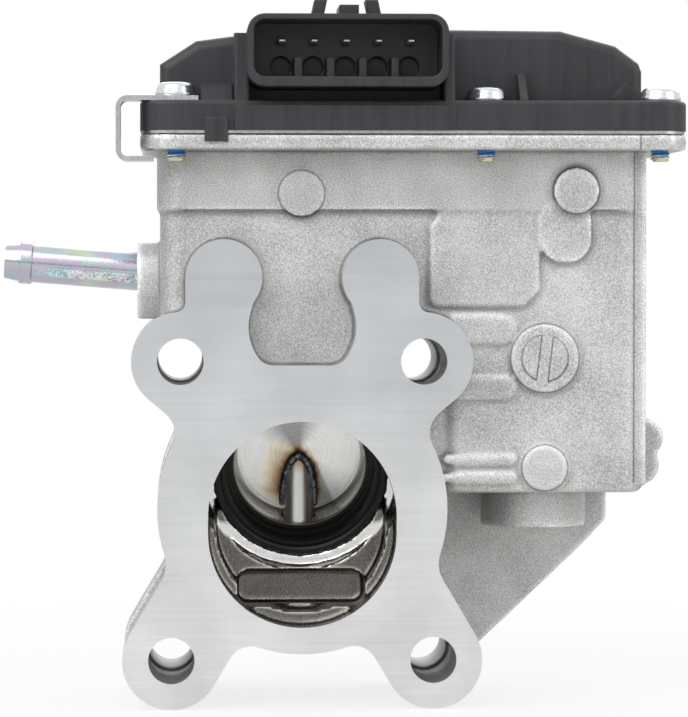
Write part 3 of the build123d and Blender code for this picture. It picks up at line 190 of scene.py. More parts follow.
# Grooves that run round an axis, as a lathe leaves them
turned_marks, inp, out = new_group(
    "turned_marks", {"Place": (0, 0, 0), "Centre": (0, 0, 0), "Axis": (0, 0, 1), "Pitch": 3.0},
    {label: "NodeSocketFloat" for label in ("Radius", "Along", "Height", "Angle")})
from_centre = vector_math(turned_marks, "SUBTRACT", inp.outputs["Place"], inp.outputs["Centre"])
along = vector_math(turned_marks, "DOT_PRODUCT", from_centre, inp.outputs["Axis"])
on_axis = vector_math(turned_marks, "SCALE", inp.outputs["Axis"], scale=along)
outward = vector_math(turned_marks, "SUBTRACT", from_centre, on_axis)
radius = vector_math(turned_marks, "LENGTH", outward)
packed = add_node(turned_marks, "ShaderNodeCombineXYZ", {0: radius, 1: along}).outputs[0]
rings = noise(turned_marks, packed, inp.outputs["Pitch"], 5.0, 0.7)
split = axes(turned_marks, outward)
angle = math_node(turned_marks, "ARCTAN2", split[2], split[0])
for label, socket in (("Radius", radius), ("Along", along), ("Height", rings), ("Angle", angle)):
    turned_marks.links.new(socket, out.inputs[label])

# 1 inside a band of a value, 0 outside it, with soft sides
inside_band, inp, out = new_group("inside_band", {"Value": 0.0, "Low": 0.0, "High": 1.0, "Soft": 0.1},
                                  {"Mask": "NodeSocketFloat"})
above = math_node(inside_band, "SUBTRACT", inp.outputs["Value"], inp.outputs["Low"])
above = math_node(inside_band, "DIVIDE", above, inp.outputs["Soft"], clamp=True)
below = math_node(inside_band, "SUBTRACT", inp.outputs["High"], inp.outputs["Value"])
below = math_node(inside_band, "DIVIDE", below, inp.outputs["Soft"], clamp=True)
inside_band.links.new(math_node(inside_band, "MULTIPLY", above, below), out.inputs["Mask"])

FLANGE_DEPTH = 45.0
DISC_Y, DISC_Z = 25.0, 13.8
CHANNEL_TILT = radians(18.5)
CHANNEL_CENTRE = Vector((0, DISC_Y, DISC_Z))
CHANNEL_AXIS = Vector((0, -cos(CHANNEL_TILT), -sin(CHANNEL_TILT)))
NOZZLE_FRONT = 15.4
NOZZLE_R = 17.0
SPOTFACE_R = 19.0
PORT_REACH, CHANNEL_REACH = 22.6, 20.0
CASE_SKIN_Y = 9.4
DIAL_PLACE, DIAL_FACE_Y = (47.705, 31.9), 7.914
DIAL_SUNK_R, BAR_HALF, BAR_LEAN = 4.65, 1.0, radians(83)
LEDGE_LEFT, LEDGE_SHADE_Y, LEDGE_FOOT = 65.45, 13.0, 7.5
TOP_REFLECTION_RISE = (-20.0, 58.0)
# Place (X, Z) and radius of the dial and of the round pads on the case's front
PADS = ((DIAL_PLACE, 6.75), ((47.705, 10.4), 4.55), ((53.7, 64.6), 4.55), ((0.1, 64.0), 4.55))

body_metal, tree, shader, place = new_material("cast_and_milled_aluminium", (0.6, 0.6, 0.59), 0.5, 1.0)
grain = use_group(tree, cast_grain, {"Place": place, "Grain": 3.6, "Blotch": 0.07})
marks = use_group(tree, feed_marks, {"Place": place, "Pitch": 1.6})
where = axes(tree, place)
shape = add_node(tree, "ShaderNodeNewGeometry").outputs
front = band(tree, where[1], -0.5, 0.05, 0.02)
rear = band(tree, where[1], FLANGE_DEPTH - 0.05, FLANGE_DEPTH + 1, 0.02)
milled = math_node(tree, "ADD", front, rear, clamp=True)
bore = use_group(tree, turned_marks, {"Place": place, "Centre": CHANNEL_CENTRE, "Axis": CHANNEL_AXIS,
                                      "Pitch": 2.0})
flat_place = add_node(tree, "ShaderNodeCombineXYZ", {0: where[0], 2: where[2]}).outputs[0]
by_front = band(tree, vector_math(tree, "LENGTH", flat_place), -1.0, PORT_REACH, 0.3)
by_channel = band(tree, bore["Radius"], -1.0, CHANNEL_REACH, 0.3)
in_port = math_node(tree, "MAXIMUM", by_front, by_channel)
in_depth = band(tree, where[1], 0.3, FLANGE_DEPTH - 0.5, 0.4)
port_mask = math_node(tree, "MULTIPLY", in_port, in_depth)
seat_along = band(tree, bore["Along"], NOZZLE_FRONT - 0.6, NOZZLE_FRONT + 0.5, 0.3)
seat_across = band(tree, bore["Radius"], NOZZLE_R - 1.0, SPOTFACE_R + 0.5, 0.3)
seat = math_node(tree, "MULTIPLY", seat_along, seat_across)

# Painted light: edges are painted pale as a highlight and hollows painted darker as shade, most of all in
# a painted shade ring round each pad
painted_relief_shading = value_range(tree, shape["Pointiness"], 0.46, 0.54, 0.55, 1.28)
in_face = math_node(tree, "LESS_THAN", where[1], CASE_SKIN_Y)
for centre, pad_r in PADS:
    from_pad = vector_math(tree, "DISTANCE", flat_place, (centre[0], 0, centre[1]))
    pad_shade_ring = band(tree, from_pad, pad_r - 0.3, pad_r + 0.3, 0.25)
    pad_shade_ring = math_node(tree, "MULTIPLY", pad_shade_ring, in_face)
    painted_relief_shading = math_node(tree, "MULTIPLY", painted_relief_shading, math_node(tree, "MULTIPLY_ADD", pad_shade_ring, -0.55, 1.0))

# The dial is sunk inside its ring, but for a bar across it; painted shade lines follow it and the side
# ledge, where shade would fall
from_dial = vector_math(tree, "SUBTRACT", flat_place, (DIAL_PLACE[0], 0, DIAL_PLACE[1]))
dial_off = vector_math(tree, "LENGTH", from_dial)
beside_bar = vector_math(tree, "DOT_PRODUCT", from_dial, (sin(BAR_LEAN), 0, -cos(BAR_LEAN)))
beside_bar = math_node(tree, "ABSOLUTE", beside_bar)
in_ring = band(tree, dial_off, -1.0, DIAL_SUNK_R, 0.16)
sunk = math_node(tree, "MULTIPLY", in_ring, value_range(tree, beside_bar, BAR_HALF, BAR_HALF + 0.16))
sunk = math_node(tree, "MULTIPLY", sunk, in_face)
ring_shade_line = band(tree, dial_off, DIAL_SUNK_R - 0.45, DIAL_SUNK_R + 0.25, 0.3)
off_bar = value_range(tree, beside_bar, BAR_HALF - 0.1, BAR_HALF + 0.1)
ring_shade_line = math_node(tree, "MULTIPLY", ring_shade_line, off_bar)
lower_part = value_range(tree, where[2], DIAL_PLACE[1] + 3, DIAL_PLACE[1] - 2)
ring_shade_line = math_node(tree, "MULTIPLY", ring_shade_line, lower_part)
bar_shade_line = band(tree, beside_bar, BAR_HALF - 0.05, BAR_HALF + 0.35, 0.18)
bar_shade_line = math_node(tree, "MULTIPLY", bar_shade_line, in_ring)
ledge_shade_line = band(tree, where[0], LEDGE_LEFT - 0.45, LEDGE_LEFT + 0.1, 0.25)
ledge_shade_line = math_node(tree, "MULTIPLY", ledge_shade_line, math_node(tree, "LESS_THAN", where[1], LEDGE_SHADE_Y))
ledge_shade_line = math_node(tree, "MULTIPLY", ledge_shade_line, math_node(tree, "GREATER_THAN", where[2], LEDGE_FOOT))
painted_shade_lines = math_node(tree, "MULTIPLY", math_node(tree, "MAXIMUM", ring_shade_line, bar_shade_line), in_face)
painted_shade_lines = math_node(tree, "MAXIMUM", painted_shade_lines, ledge_shade_line)
painted_relief_shading = math_node(tree, "MULTIPLY", painted_relief_shading, math_node(tree, "MULTIPLY_ADD", painted_shade_lines, -0.6, 1.0))

cast_tone = colour_ramp(tree, grain["Tone"], (0.38, (0.38, 0.377, 0.372)), (0.62, (0.85, 0.848, 0.84)))
cast_colour = vector_math(tree, "SCALE", cast_tone, scale=painted_relief_shading)
milled_tone = colour_ramp(tree, marks["Tone"], (0.36, (0.80, 0.80, 0.80)), (0.62, (0.95, 0.95, 0.945)))
# Painted reflection: the milled faces are painted greyer and bluer towards the top
top_reflection = value_range(tree, where[2], *TOP_REFLECTION_RISE, 0.0, 0.8)
milled_colour = colour_mix(tree, top_reflection, milled_tone, (0.58, 0.61, 0.64, 1))
port_tone = value_range(tree, grain["Tone"], 0.36, 0.64)
port_colour = colour_mix(tree, port_tone, (0.09, 0.084, 0.075, 1), (0.25, 0.238, 0.218, 1))
# Painted highlight: rounded rims inside the port are painted a pale cream
rim_highlight = value_range(tree, shape["Pointiness"], 0.508, 0.545)
port_colour = colour_mix(tree, rim_highlight, port_colour, (0.68, 0.65, 0.59, 1))
with_port = colour_mix(tree, port_mask, cast_colour, port_colour)
with_seat = colour_mix(tree, seat, with_port, (0.88, 0.87, 0.86, 1))
tree.links.new(colour_mix(tree, milled, with_seat, milled_colour), shader.inputs["Base Color"])

cast_rough = value_range(tree, grain["Tone"], 0.36, 0.64, 0.40, 0.56)
port_rough = math_node(tree, "MULTIPLY_ADD", port_mask, -0.24, cast_rough)
smooth_rough = value_range(tree, marks["Tone"], 0.35, 0.65, 0.28, 0.38)
milled_change = math_node(tree, "SUBTRACT", smooth_rough, port_rough)
rough = math_node(tree, "MULTIPLY_ADD", milled, milled_change, port_rough)
tree.links.new(rough, shader.inputs["Roughness"])
rough_skin = math_node(tree, "SUBTRACT", 1.0, math_node(tree, "ADD", milled, seat, clamp=True))
rough_skin = math_node(tree, "MULTIPLY", rough_skin, math_node(tree, "MULTIPLY_ADD", port_mask, -0.8, 1.0))
under = bump(tree, shader, math_node(tree, "SUBTRACT", 1.0, sunk), 0.0003, 1.0)
under = bump(tree, shader, math_node(tree, "MULTIPLY", grain["Height"], rough_skin), 0.00016, 0.8, under)
milled_height = math_node(tree, "MULTIPLY", marks["Height"], milled)
bump(tree, shader, milled_height, 0.00002, 0.4, under)


def object_from(mesh, name):
    made = bpy.data.objects.new(name, mesh)
    bpy.context.scene.collection.objects.link(made)
    return made


def shade(work, sharp):
    """Smooth faces, with a crisp edge wherever two of them meet at more than the sharp angle."""
    bmesh.ops.recalc_face_normals(work, faces=work.faces)
    for face in work.faces:
        face.smooth = True
    for edge in work.edges:
        edge.smooth = edge.calc_face_angle(0) < sharp


def rebuilt(source, name, voxel, smoothing, flats, extra):
    """A CAD node's mesh with more forms and its edges worn round.

    Each flat (place along Y, side it faces, far corner in X and Z) stays crisp."""
    mesh = source.data.copy()
    reach = 3 * voxel
    for vertex in mesh.vertices:
        for at, side, corner in flats:
            if abs(vertex.co.y - at) < 0.00001 and vertex.co.x < corner[0] and vertex.co.z < corner[1]:
                vertex.co.y += side * reach
    work = bmesh.new()
    work.from_mesh(mesh)
    extra(work)
    work.to_mesh(mesh)
    work.free()
    made = object_from(mesh, name)
    remesh = made.modifiers.new("skin", "REMESH")
    remesh.mode = "VOXEL"
    remesh.voxel_size = voxel
    relax = made.modifiers.new("relax", "SMOOTH")
    relax.factor = 0.5
    relax.iterations = smoothing
    ready = bpy.data.meshes.new_from_object(made.evaluated_get(bpy.context.evaluated_depsgraph_get()))
    made.modifiers.clear()
    made.data = ready
    work = bmesh.new()
    work.from_mesh(ready)
    for at, side, corner in flats:
        faces = [face for face in work.faces
                 if face.calc_center_median().x < corner[0] and face.calc_center_median().z < corner[1]]
        edges = list(dict.fromkeys(edge for face in faces for edge in face.edges))
        verts = list(dict.fromkeys(vert for face in faces for vert in face.verts))
        bmesh.ops.bisect_plane(work, geom=verts + edges + faces, dist=1e-7, plane_co=(0, at, 0),
                               plane_no=(0, side, 0), clear_outer=True)
        rim = [edge for edge in work.edges if edge.is_boundary]
        bmesh.ops.triangle_fill(work, use_beauty=True, edges=rim, normal=(0, side, 0))
    shade(work, radians(34))
    work.to_mesh(ready)
    work.free()
    return made


# Middle, size and lean of forms that the CAD node lacks: a web beside the port, a ledge up the right
# side, and the filled slot of the dial
MORE_FORMS = (((27.7, 20.0, 16.0), (15.6, 20.8, 19.0), 0),
              ((66.6, 12.1, 39.6), (2.3, 6.0, 65.4), 0),
              ((DIAL_PLACE[0], DIAL_FACE_Y + 1.0, DIAL_PLACE[1]), (9.6, 2.0, 2.2), radians(-82)))


def cast_extras(work):
    for middle, size, lean in MORE_FORMS:
        at = Matrix.Translation(Vector(middle) * MM) @ Matrix.Rotation(lean, 4, "Y")
        bmesh.ops.create_cube(work, size=1, matrix=at @ Matrix.Diagonal((*(Vector(size) * MM), 1)))


FLANGE_REGION = (0.036, 0.058)
SKIN_VOXEL = 0.0005
body_casting = rebuilt(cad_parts["valve_body"], "body_casting", SKIN_VOXEL, 3,
                       ((0.0, -1, FLANGE_REGION), (FLANGE_DEPTH * MM, 1, FLANGE_REGION)), cast_extras)
body_casting.data.materials.clear()
body_casting.data.materials.append(body_metal)
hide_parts("valve_body")
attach(body_casting, "housing")


# ---------------------------------------------------------------- nozzle ring
# The nozzle ring is turned from steel and pressed into the channel. Exhaust heat has left it near
# black, and only the lip of its mouth is rubbed bright.
def finish_nodes(finish, *names):
    """Gives CAD nodes their material."""
    for name in names:
        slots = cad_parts[name].data.materials
        slots.clear()
        slots.append(finish)


LIP_R, BORE_WALL_R, LIP_ALONG = 12.95, 13.2, 8.4
nozzle_steel, tree, shader, place = new_material("dark_turned_steel", (0.02, 0.02, 0.02), 0.4, 0.9)
turned = use_group(tree, turned_marks, {"Place": place, "Centre": CHANNEL_CENTRE, "Axis": CHANNEL_AXIS,
                                        "Pitch": 3.2})
dark = colour_mix(tree, turned["Height"], (0.006, 0.006, 0.006, 1), (0.055, 0.052, 0.05, 1))
lip = band(tree, turned["Radius"], LIP_R - 0.2, LIP_R + 0.14, 0.04)
with_lip = colour_mix(tree, math_node(tree, "MULTIPLY", lip, 0.55), dark, (0.5, 0.46, 0.38, 1))
wall_across = band(tree, turned["Radius"], BORE_WALL_R - 0.3, BORE_WALL_R + 0.3, 0.1)
wall_along = band(tree, turned["Along"], -10.0, LIP_ALONG, 0.2)
bore_wall = math_node(tree, "MULTIPLY", wall_across, wall_along)
tree.links.new(colour_mix(tree, bore_wall, with_lip, (0.86, 0.84, 0.80, 1)), shader.inputs["Base Color"])
turned_rough = value_range(tree, turned["Height"], 0.3, 0.7, 0.3, 0.5)
tree.links.new(math_node(tree, "MULTIPLY_ADD", bore_wall, -0.24, turned_rough), shader.inputs["Roughness"])
bump(tree, shader, turned["Height"], 0.00006, 0.7)
finish_nodes(nozzle_steel, "nozzle_ring")


# ---------------------------------------------------------------- flap, seal ring, shaft and weld
# The flap is a turned steel disc with a split seal ring in its groove. Its shaft runs through it at a
# slant and is fixed by a weld bead, whose heat has left brown and blue tints on the steel.
SHAFT_R = 3.0
DISC_FRONT = 3.6
WELD_WIDTH = 1.0
WELD_HALF_X = SHAFT_R + WELD_WIDTH
WELD_HALF_Y = SHAFT_R / sin(CHANNEL_TILT) + 1.9 * WELD_WIDTH
WELD_DROP = DISC_FRONT / tan(CHANNEL_TILT)
flap_steel, tree, shader, place = new_material("turned_flap_steel", (0.8, 0.78, 0.76), 0.24, 1.0)
turned = use_group(tree, turned_marks, {"Place": place, "Centre": CHANNEL_CENTRE, "Axis": CHANNEL_AXIS,
                                        "Pitch": 4.0})
FACE_UP = Vector((0, -sin(CHANNEL_TILT), cos(CHANNEL_TILT)))
from_middle = vector_math(tree, "SUBTRACT", place, CHANNEL_CENTRE)
face_up = vector_math(tree, "DOT_PRODUCT", from_middle, FACE_UP)
face_across = axes(tree, from_middle)[0]
# Distance from the weld's ellipse, in millimetres along the face
up_part = math_node(tree, "DIVIDE", math_node(tree, "ADD", face_up, WELD_DROP), WELD_HALF_Y)
across_part = math_node(tree, "DIVIDE", face_across, WELD_HALF_X)
squares = math_node(tree, "ADD", math_node(tree, "MULTIPLY", up_part, up_part),
                    math_node(tree, "MULTIPLY", across_part, across_part))
up_slope = math_node(tree, "DIVIDE", up_part, WELD_HALF_Y)
across_slope = math_node(tree, "DIVIDE", across_part, WELD_HALF_X)
slope = math_node(tree, "SQRT", math_node(tree, "ADD", math_node(tree, "MULTIPLY", up_slope, up_slope),
                                          math_node(tree, "MULTIPLY", across_slope, across_slope)))
gap = math_node(tree, "DIVIDE", math_node(tree, "SUBTRACT", squares, 1.0),
                math_node(tree, "MULTIPLY", slope, 2.0))
ragged = noise(tree, place, 0.45, 3.0)
gap = math_node(tree, "MULTIPLY_ADD", math_node(tree, "SUBTRACT", ragged, 0.5), 1.3, gap)
left_spread = value_range(tree, face_across, 1.0, -5.0, 0.62, 1.75)
foot_fade = value_range(tree, face_up, -8.0, -13.0, 0.0, 3.0)
gap = math_node(tree, "ADD", math_node(tree, "DIVIDE", gap, left_spread), foot_fade)
tint = colour_ramp(tree, value_range(tree, gap, 0.0, 2.6),
                   (0.0, (0.09, 0.055, 0.04)), (0.12, (0.28, 0.16, 0.09)), (0.3, (0.60, 0.44, 0.31)),
                   (0.48, (0.86, 0.78, 0.63)), (0.66, (0.97, 0.94, 0.82)), (0.82, (0.94, 0.93, 0.97)),
                   (1.0, (1, 1, 1)))
# Painted reflection: the turned face is painted bright in two broad fans, with darker painted ones above
# and by the shaft, whose right side is a straight line that leans
FAN_LEAN = radians(14)
SHADED_SECTOR_SLOPE, SHADED_SECTOR_START = -0.438, 2.76
leaning = math_node(tree, "SUBTRACT", turned["Angle"], FAN_LEAN)
reflection_fan = math_node(tree, "ABSOLUTE", math_node(tree, "COSINE", leaning))
fan_reflection_and_arcs = value_range(tree, reflection_fan, 0.3, 0.85, 0.40, 1.0)
edge_line = math_node(tree, "MULTIPLY_ADD", face_up, SHADED_SECTOR_SLOPE, SHADED_SECTOR_START)
in_line = value_range(tree, math_node(tree, "SUBTRACT", edge_line, face_across), 0.0, 0.25)
right_side = value_range(tree, face_across, 0.0, 1.0)
below_weld = value_range(tree, face_up, 1.5, -3.5)
shaded_sector = math_node(tree, "MULTIPLY", math_node(tree, "MULTIPLY", in_line, right_side), below_weld)
fan_reflection_and_arcs = math_node(tree, "MULTIPLY", fan_reflection_and_arcs, math_node(tree, "MULTIPLY_ADD", shaded_sector, -0.4, 1.0))
arcs = value_range(tree, turned["Height"], 0.35, 0.65, 0.86, 1.1)
fan_reflection_and_arcs = math_node(tree, "MULTIPLY", fan_reflection_and_arcs, arcs)
warm_blue = math_node(tree, "MULTIPLY", fan_reflection_and_arcs, 0.985)
grey = add_node(tree, "ShaderNodeCombineXYZ", {0: fan_reflection_and_arcs, 1: fan_reflection_and_arcs, 2: warm_blue}).outputs[0]
tree.links.new(colour_mix(tree, 1.0, tint, grey, blend="MULTIPLY"), shader.inputs["Base Color"])
tree.links.new(value_range(tree, turned["Height"], 0.3, 0.7, 0.22, 0.34), shader.inputs["Roughness"])
bump(tree, shader, turned["Height"], 0.00003, 0.6)
finish_nodes(flap_steel, "valve_disc")

WELD_HEAT_Z = (8.6, 11.2)
shaft_steel, tree, shader, place = new_material("ground_shaft_steel", (0.55, 0.54, 0.52), 0.3, 1.0)
turned = use_group(tree, turned_marks, {"Place": place, "Centre": (0, DISC_Y, 0), "Axis": (0, 0, 1),
                                        "Pitch": 2.4})
heat = value_range(tree, axes(tree, place)[2], *WELD_HEAT_Z)
heat_tint = colour_mix(tree, heat, (0.72, 0.71, 0.67, 1), (0.40, 0.25, 0.14, 1))
tree.links.new(heat_tint, shader.inputs["Base Color"])
bump(tree, shader, turned["Height"], 0.00001, 0.4)
finish_nodes(shaft_steel, "valve_shaft")
finish_nodes(nozzle_steel, "seal_ring")

weld_steel, tree, shader, place = new_material("weld_bead_steel", (0.05, 0.055, 0.065), 0.34, 1.0)
lumps = noise(tree, place, 1.4, 4.0)
bead_tint = colour_ramp(tree, lumps, (0.35, (0.035, 0.04, 0.05)), (0.7, (0.26, 0.26, 0.28)))
tree.links.new(bead_tint, shader.inputs["Base Color"])
bump(tree, shader, lumps, 0.0002, 0.8)

# The bead arches over the shaft in overlapping ripples, thick at the top and thin at its feet
BEAD_STEPS, BEAD_SIDES = 72, 12
BEAD_R_ACROSS = SHAFT_R + 0.3
BEAD_R_UP = SHAFT_R / sin(CHANNEL_TILT) + 0.8
BEAD_HALF_HEIGHT, FOOT_HALF_WIDTH, TOP_SWELL = 0.74, 0.56, 0.36
bead_work = bmesh.new()
last = None
for step in range(BEAD_STEPS + 1):
    turn = pi * step / BEAD_STEPS
    ripple = 1 + 0.07 * sin(turn * 34) + 0.05 * sin(turn * 13 + 1)
    half_width = (FOOT_HALF_WIDTH + TOP_SWELL * sin(turn)) * ripple
    half_height = BEAD_HALF_HEIGHT * ripple
    slope = Vector((cos(turn) / BEAD_R_ACROSS, sin(turn) / BEAD_R_UP)).normalized()
    across = BEAD_R_ACROSS * cos(turn)
    upward = BEAD_R_UP * sin(turn) - WELD_DROP
    here = []
    for side in range(BEAD_SIDES):
        lean = 2 * pi * side / BEAD_SIDES
        beside = half_width * cos(lean)
        spot = CHANNEL_CENTRE + (DISC_FRONT + max(0, half_height * sin(lean))) * CHANNEL_AXIS
        spot = spot + (upward + beside * slope[1]) * FACE_UP + Vector((across + beside * slope[0], 0, 0))
        here.append(bead_work.verts.new(spot * MM))
    if last:
        for side in range(BEAD_SIDES):
            bead_work.faces.new((last[side], last[side - 1], here[side - 1], here[side]))
    else:
        bead_work.faces.new(here)
    last = here
bead_work.faces.new(last)
bmesh.ops.recalc_face_normals(bead_work, faces=bead_work.faces)
for face in bead_work.faces:
    face.smooth = True
bead_mesh = bpy.data.meshes.new("weld_bead")
bead_work.to_mesh(bead_mesh)
bead_work.free()
bead = object_from(bead_mesh, "weld_bead")
bead_mesh.materials.append(weld_steel)
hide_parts("disc_weld")
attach(bead, "valve")


# ---------------------------------------------------------------- bearings and seals on the shaft
# Sintered bronze bushings, a ball bearing and a rubber lip seal carry the shaft inside the casting.
# A pressed steel cap closes the bore below.
def plain_finish(name, colour, roughness, metallic=0.0, spot=1.2, depth=0.00003, spread=0.2):
    """A finish with light mottling: colour and roughness vary over spots, with a fine bump."""
    made, tree, shader, place = new_material(name, colour, roughness, metallic)
    mottle = use_group(tree, cast_grain, {"Place": place, "Grain": spot, "Blotch": spot * 0.08})
    low = tuple(c * (1 - spread) for c in colour) + (1,)
    high = tuple(min(c * (1 + spread), 1) for c in colour) + (1,)
    tree.links.new(colour_mix(tree, value_range(tree, mottle["Tone"], 0.3, 0.7), low, high),
                   shader.inputs["Base Color"])
    tree.links.new(value_range(tree, mottle["Tone"], 0.3, 0.7, roughness * 0.85, roughness * 1.15),
                   shader.inputs["Roughness"])
    bump(tree, shader, mottle["Height"], depth, 0.4)
    return made


bronze = plain_finish("sintered_bronze", (0.42, 0.27, 0.12), 0.45, 1.0, 4.0)
ground_steel = plain_finish("ground_steel", (0.55, 0.54, 0.53), 0.22, 1.0, 0.8, 0.00001, 0.08)
zinc_steel = plain_finish("zinc_plated_steel", (0.66, 0.67, 0.68), 0.24, 1.0, 1.6, 0.00002, 0.12)
seal_rubber = plain_finish("seal_rubber", (0.02, 0.02, 0.02), 0.6, 0.0, 3.0)
finish_nodes(bronze, "lower_bushing", "upper_bushing")
finish_nodes(ground_steel, "bearing_outer_ring", "bearing_inner_ring", "bearing_balls")
finish_nodes(zinc_steel, "lower_plug")
finish_nodes(seal_rubber, "shaft_seal")


# ---------------------------------------------------------------- gear train and return spring
# Moulded nylon gears turn on the shaft and on a fixed steel pin. A coiled wire spring in the well
# under the toothed slice pulls the flap shut, and magnets in a steel yoke show the sensor its angle.
nylon = plain_finish("moulded_nylon", (0.56, 0.50, 0.38), 0.42, 0.0, 1.0, 0.00002, 0.1)
spring_wire = plain_finish("drawn_spring_wire", (0.20, 0.20, 0.21), 0.3, 1.0, 2.0)
ferrite = plain_finish("sintered_ferrite", (0.035, 0.035, 0.038), 0.5, 0.3, 4.0)
finish_nodes(nylon, "valve_gear", "intermediate_gear", "gear_washer")
finish_nodes(ground_steel, "intermediate_pin")
finish_nodes(spring_wire, "return_spring")
finish_nodes(zinc_steel, "gear_insert", "magnet_yoke")
finish_nodes(ferrite, "sensor_magnets")


# ---------------------------------------------------------------- motor
# A brushed direct-current motor fills the round bore: steel can, ferrite magnets, wound armature,
# carbon brushes and a plastic end cap with two blade terminals.
copper = plain_finish("enamelled_copper", (0.45, 0.17, 0.07), 0.28, 1.0, 3.0)
carbon = plain_finish("brush_carbon", (0.03, 0.03, 0.03), 0.55, 0.2, 4.0)
lamination = plain_finish("stacked_laminations", (0.16, 0.16, 0.165), 0.4, 1.0, 2.0)
tin = plain_finish("tin_plate", (0.68, 0.67, 0.62), 0.2, 1.0, 1.5, 0.00001, 0.06)
cap_plastic = plain_finish("black_end_cap", (0.02, 0.02, 0.022), 0.45)
finish_nodes(zinc_steel, "motor_can", "motor_plate", "motor_screws")
finish_nodes(ferrite, "motor_magnets")
finish_nodes(copper, "motor_windings", "motor_commutator")
finish_nodes(carbon, "motor_brushes")
finish_nodes(lamination, "motor_armature")
finish_nodes(ground_steel, "motor_shaft")
finish_nodes(bronze, "motor_bushings", "motor_pinion")
finish_nodes(spring_wire, "wave_washer")
finish_nodes(tin, "motor_terminals", "motor_contacts")
finish_nodes(cap_plastic, "motor_end_cap")


# ---------------------------------------------------------------- gear cover
# The gear cover is one satin moulding in glass-filled black plastic, with faint flow streaks and the
# plug's shroud on its front. Tinned pins, the position sensor and steel sleeves are moulded in.
cover_plastic, tree, shader, place = new_material("satin_black_moulding", (0.03, 0.03, 0.034), 0.42)
grain = use_group(tree, cast_grain, {"Place": place, "Grain": 4.0, "Blotch": 0.05})
streaked = add_node(tree, "ShaderNodeMapping", {"Vector": place, "Scale": (1, 1, 0.08)})
streaks = noise(tree, streaked.outputs[0], 0.7, 5.0)
blend = math_node(tree, "MULTIPLY", grain["Tone"], 0.5)
blend = math_node(tree, "MULTIPLY_ADD", streaks, 0.5, blend)
tree.links.new(colour_mix(tree, value_range(tree, blend, 0.35, 0.65), (0.022, 0.022, 0.025, 1),
                          (0.042, 0.042, 0.048, 1)), shader.inputs["Base Color"])
tree.links.new(value_range(tree, blend, 0.35, 0.65, 0.34, 0.5), shader.inputs["Roughness"])
rounded = add_node(tree, "ShaderNodeBevel", {"Radius": 0.0005}, samples=6)
bump(tree, shader, grain["Height"], 0.00003, 0.35, rounded.outputs[0])
finish_nodes(cover_plastic, "gear_cover")
finish_nodes(tin, "connector_pins")
finish_nodes(cap_plastic, "hall_sensor")
finish_nodes(zinc_steel, "cover_sleeves")


# ---------------------------------------------------------------- gasket, screws and clip
# A thin coated steel gasket seals the rim. Zinc-plated screws with a blue patch on the thread hold the
# cover, and the first one also holds a clip bent from steel strip.
gasket_steel = plain_finish("coated_gasket_steel", (0.55, 0.55, 0.54), 0.3, 1.0, 1.0)
finish_nodes(gasket_steel, "cover_gasket")
finish_nodes(zinc_steel, "retaining_clip")

YELLOWED_Z = (71.6, 70.6)
PATCH_LOW, PATCH_HIGH = 71.25, 73.5
screw_zinc, tree, shader, place = new_material("passivated_screw_zinc", (0.75, 0.77, 0.78), 0.22, 1.0)
height_mm = axes(tree, place)[2]
mottle = use_group(tree, cast_grain, {"Place": place, "Grain": 1.6, "Blotch": 0.3})
yellowed = value_range(tree, height_mm, *YELLOWED_Z)
zinc_tone = colour_mix(tree, yellowed, (0.76, 0.79, 0.80, 1), (0.72, 0.68, 0.46, 1))
patch = value_range(tree, height_mm, PATCH_LOW, PATCH_LOW + 0.15)
patch = math_node(tree, "MULTIPLY", patch, value_range(tree, height_mm, PATCH_HIGH, PATCH_HIGH - 0.5))
tree.links.new(colour_mix(tree, patch, zinc_tone, (0.03, 0.16, 0.42, 1)), shader.inputs["Base Color"])
tree.links.new(math_node(tree, "SUBTRACT", 1.0, patch), shader.inputs["Metallic"])
tree.links.new(value_range(tree, mottle["Tone"], 0.35, 0.65, 0.16, 0.3), shader.inputs["Roughness"])
bump(tree, shader, mottle["Height"], 0.00002, 0.4)

THREAD_PITCH = 0.7
THREAD_STEP = THREAD_PITCH / 10
THREAD_R, THREAD_ROOT_R = 1.94, 1.62
SCREW_TIP_Z, THREAD_TOP_Z = 70.2, 75.0
HEAD_R, HEAD_HEIGHT, DRIVE_R = 4.0, 2.7, 2.1
# The head's rim, in from its radius and up from its seat, and the middle, round and foot of its crown
HEAD_RIM = ((0.1, 0.0), (0.0, 0.12), (0.0, 0.75), (0.12, 0.95))
CROWN_MIDDLE, CROWN_ROUND, CROWN_FOOT, CROWN_STEPS = 1.55, 1.4, 1.05, 8
# The drive hole's wall, in from its radius and down from the top, and the point where its cone ends
DRIVE_WALL = ((-0.1, 0.02), (0.05, 0.15), (0.15, 1.6))
DRIVE_END = (0.4, 1.9)


def add_rings(work, centre, rings, sides, radius_at):
    """Stacks rings of points round a centre line and joins them into a skin, and gives the last ring."""
    last = None
    for ring in rings:
        here = [work.verts.new(radius_at(centre, ring, 2 * pi * step / sides)) for step in range(sides)]
        if last:
            for step in range(sides):
                work.faces.new((last[step], last[step - 1], here[step - 1], here[step]))
        last = here
    return last


def thread_point(centre, z, turn):
    """A point of a 60 degree thread, at a height and an angle round the screw."""
    phase = (z / THREAD_PITCH - turn / (2 * pi)) % 1
    crest = 1 - abs(2 * phase - 1)
    run_out = min(1, (z - SCREW_TIP_Z) / 0.35)
    radius = (THREAD_ROOT_R + (THREAD_R - THREAD_ROOT_R) * crest) * (0.8 + 0.2 * run_out)
    return (Vector((centre[0] + radius * cos(turn), centre[1] + radius * sin(turn), z))) * MM


def head_point(centre, ring, turn):
    """A point of the head's turned outline, with a six-lobed drive hole where the ring says so."""
    radius, z, lobed = ring
    if lobed:
        radius *= 1 + 0.12 * cos(6 * turn)
    return (Vector((centre[0] + radius * cos(turn), centre[1] + radius * sin(turn), z))) * MM


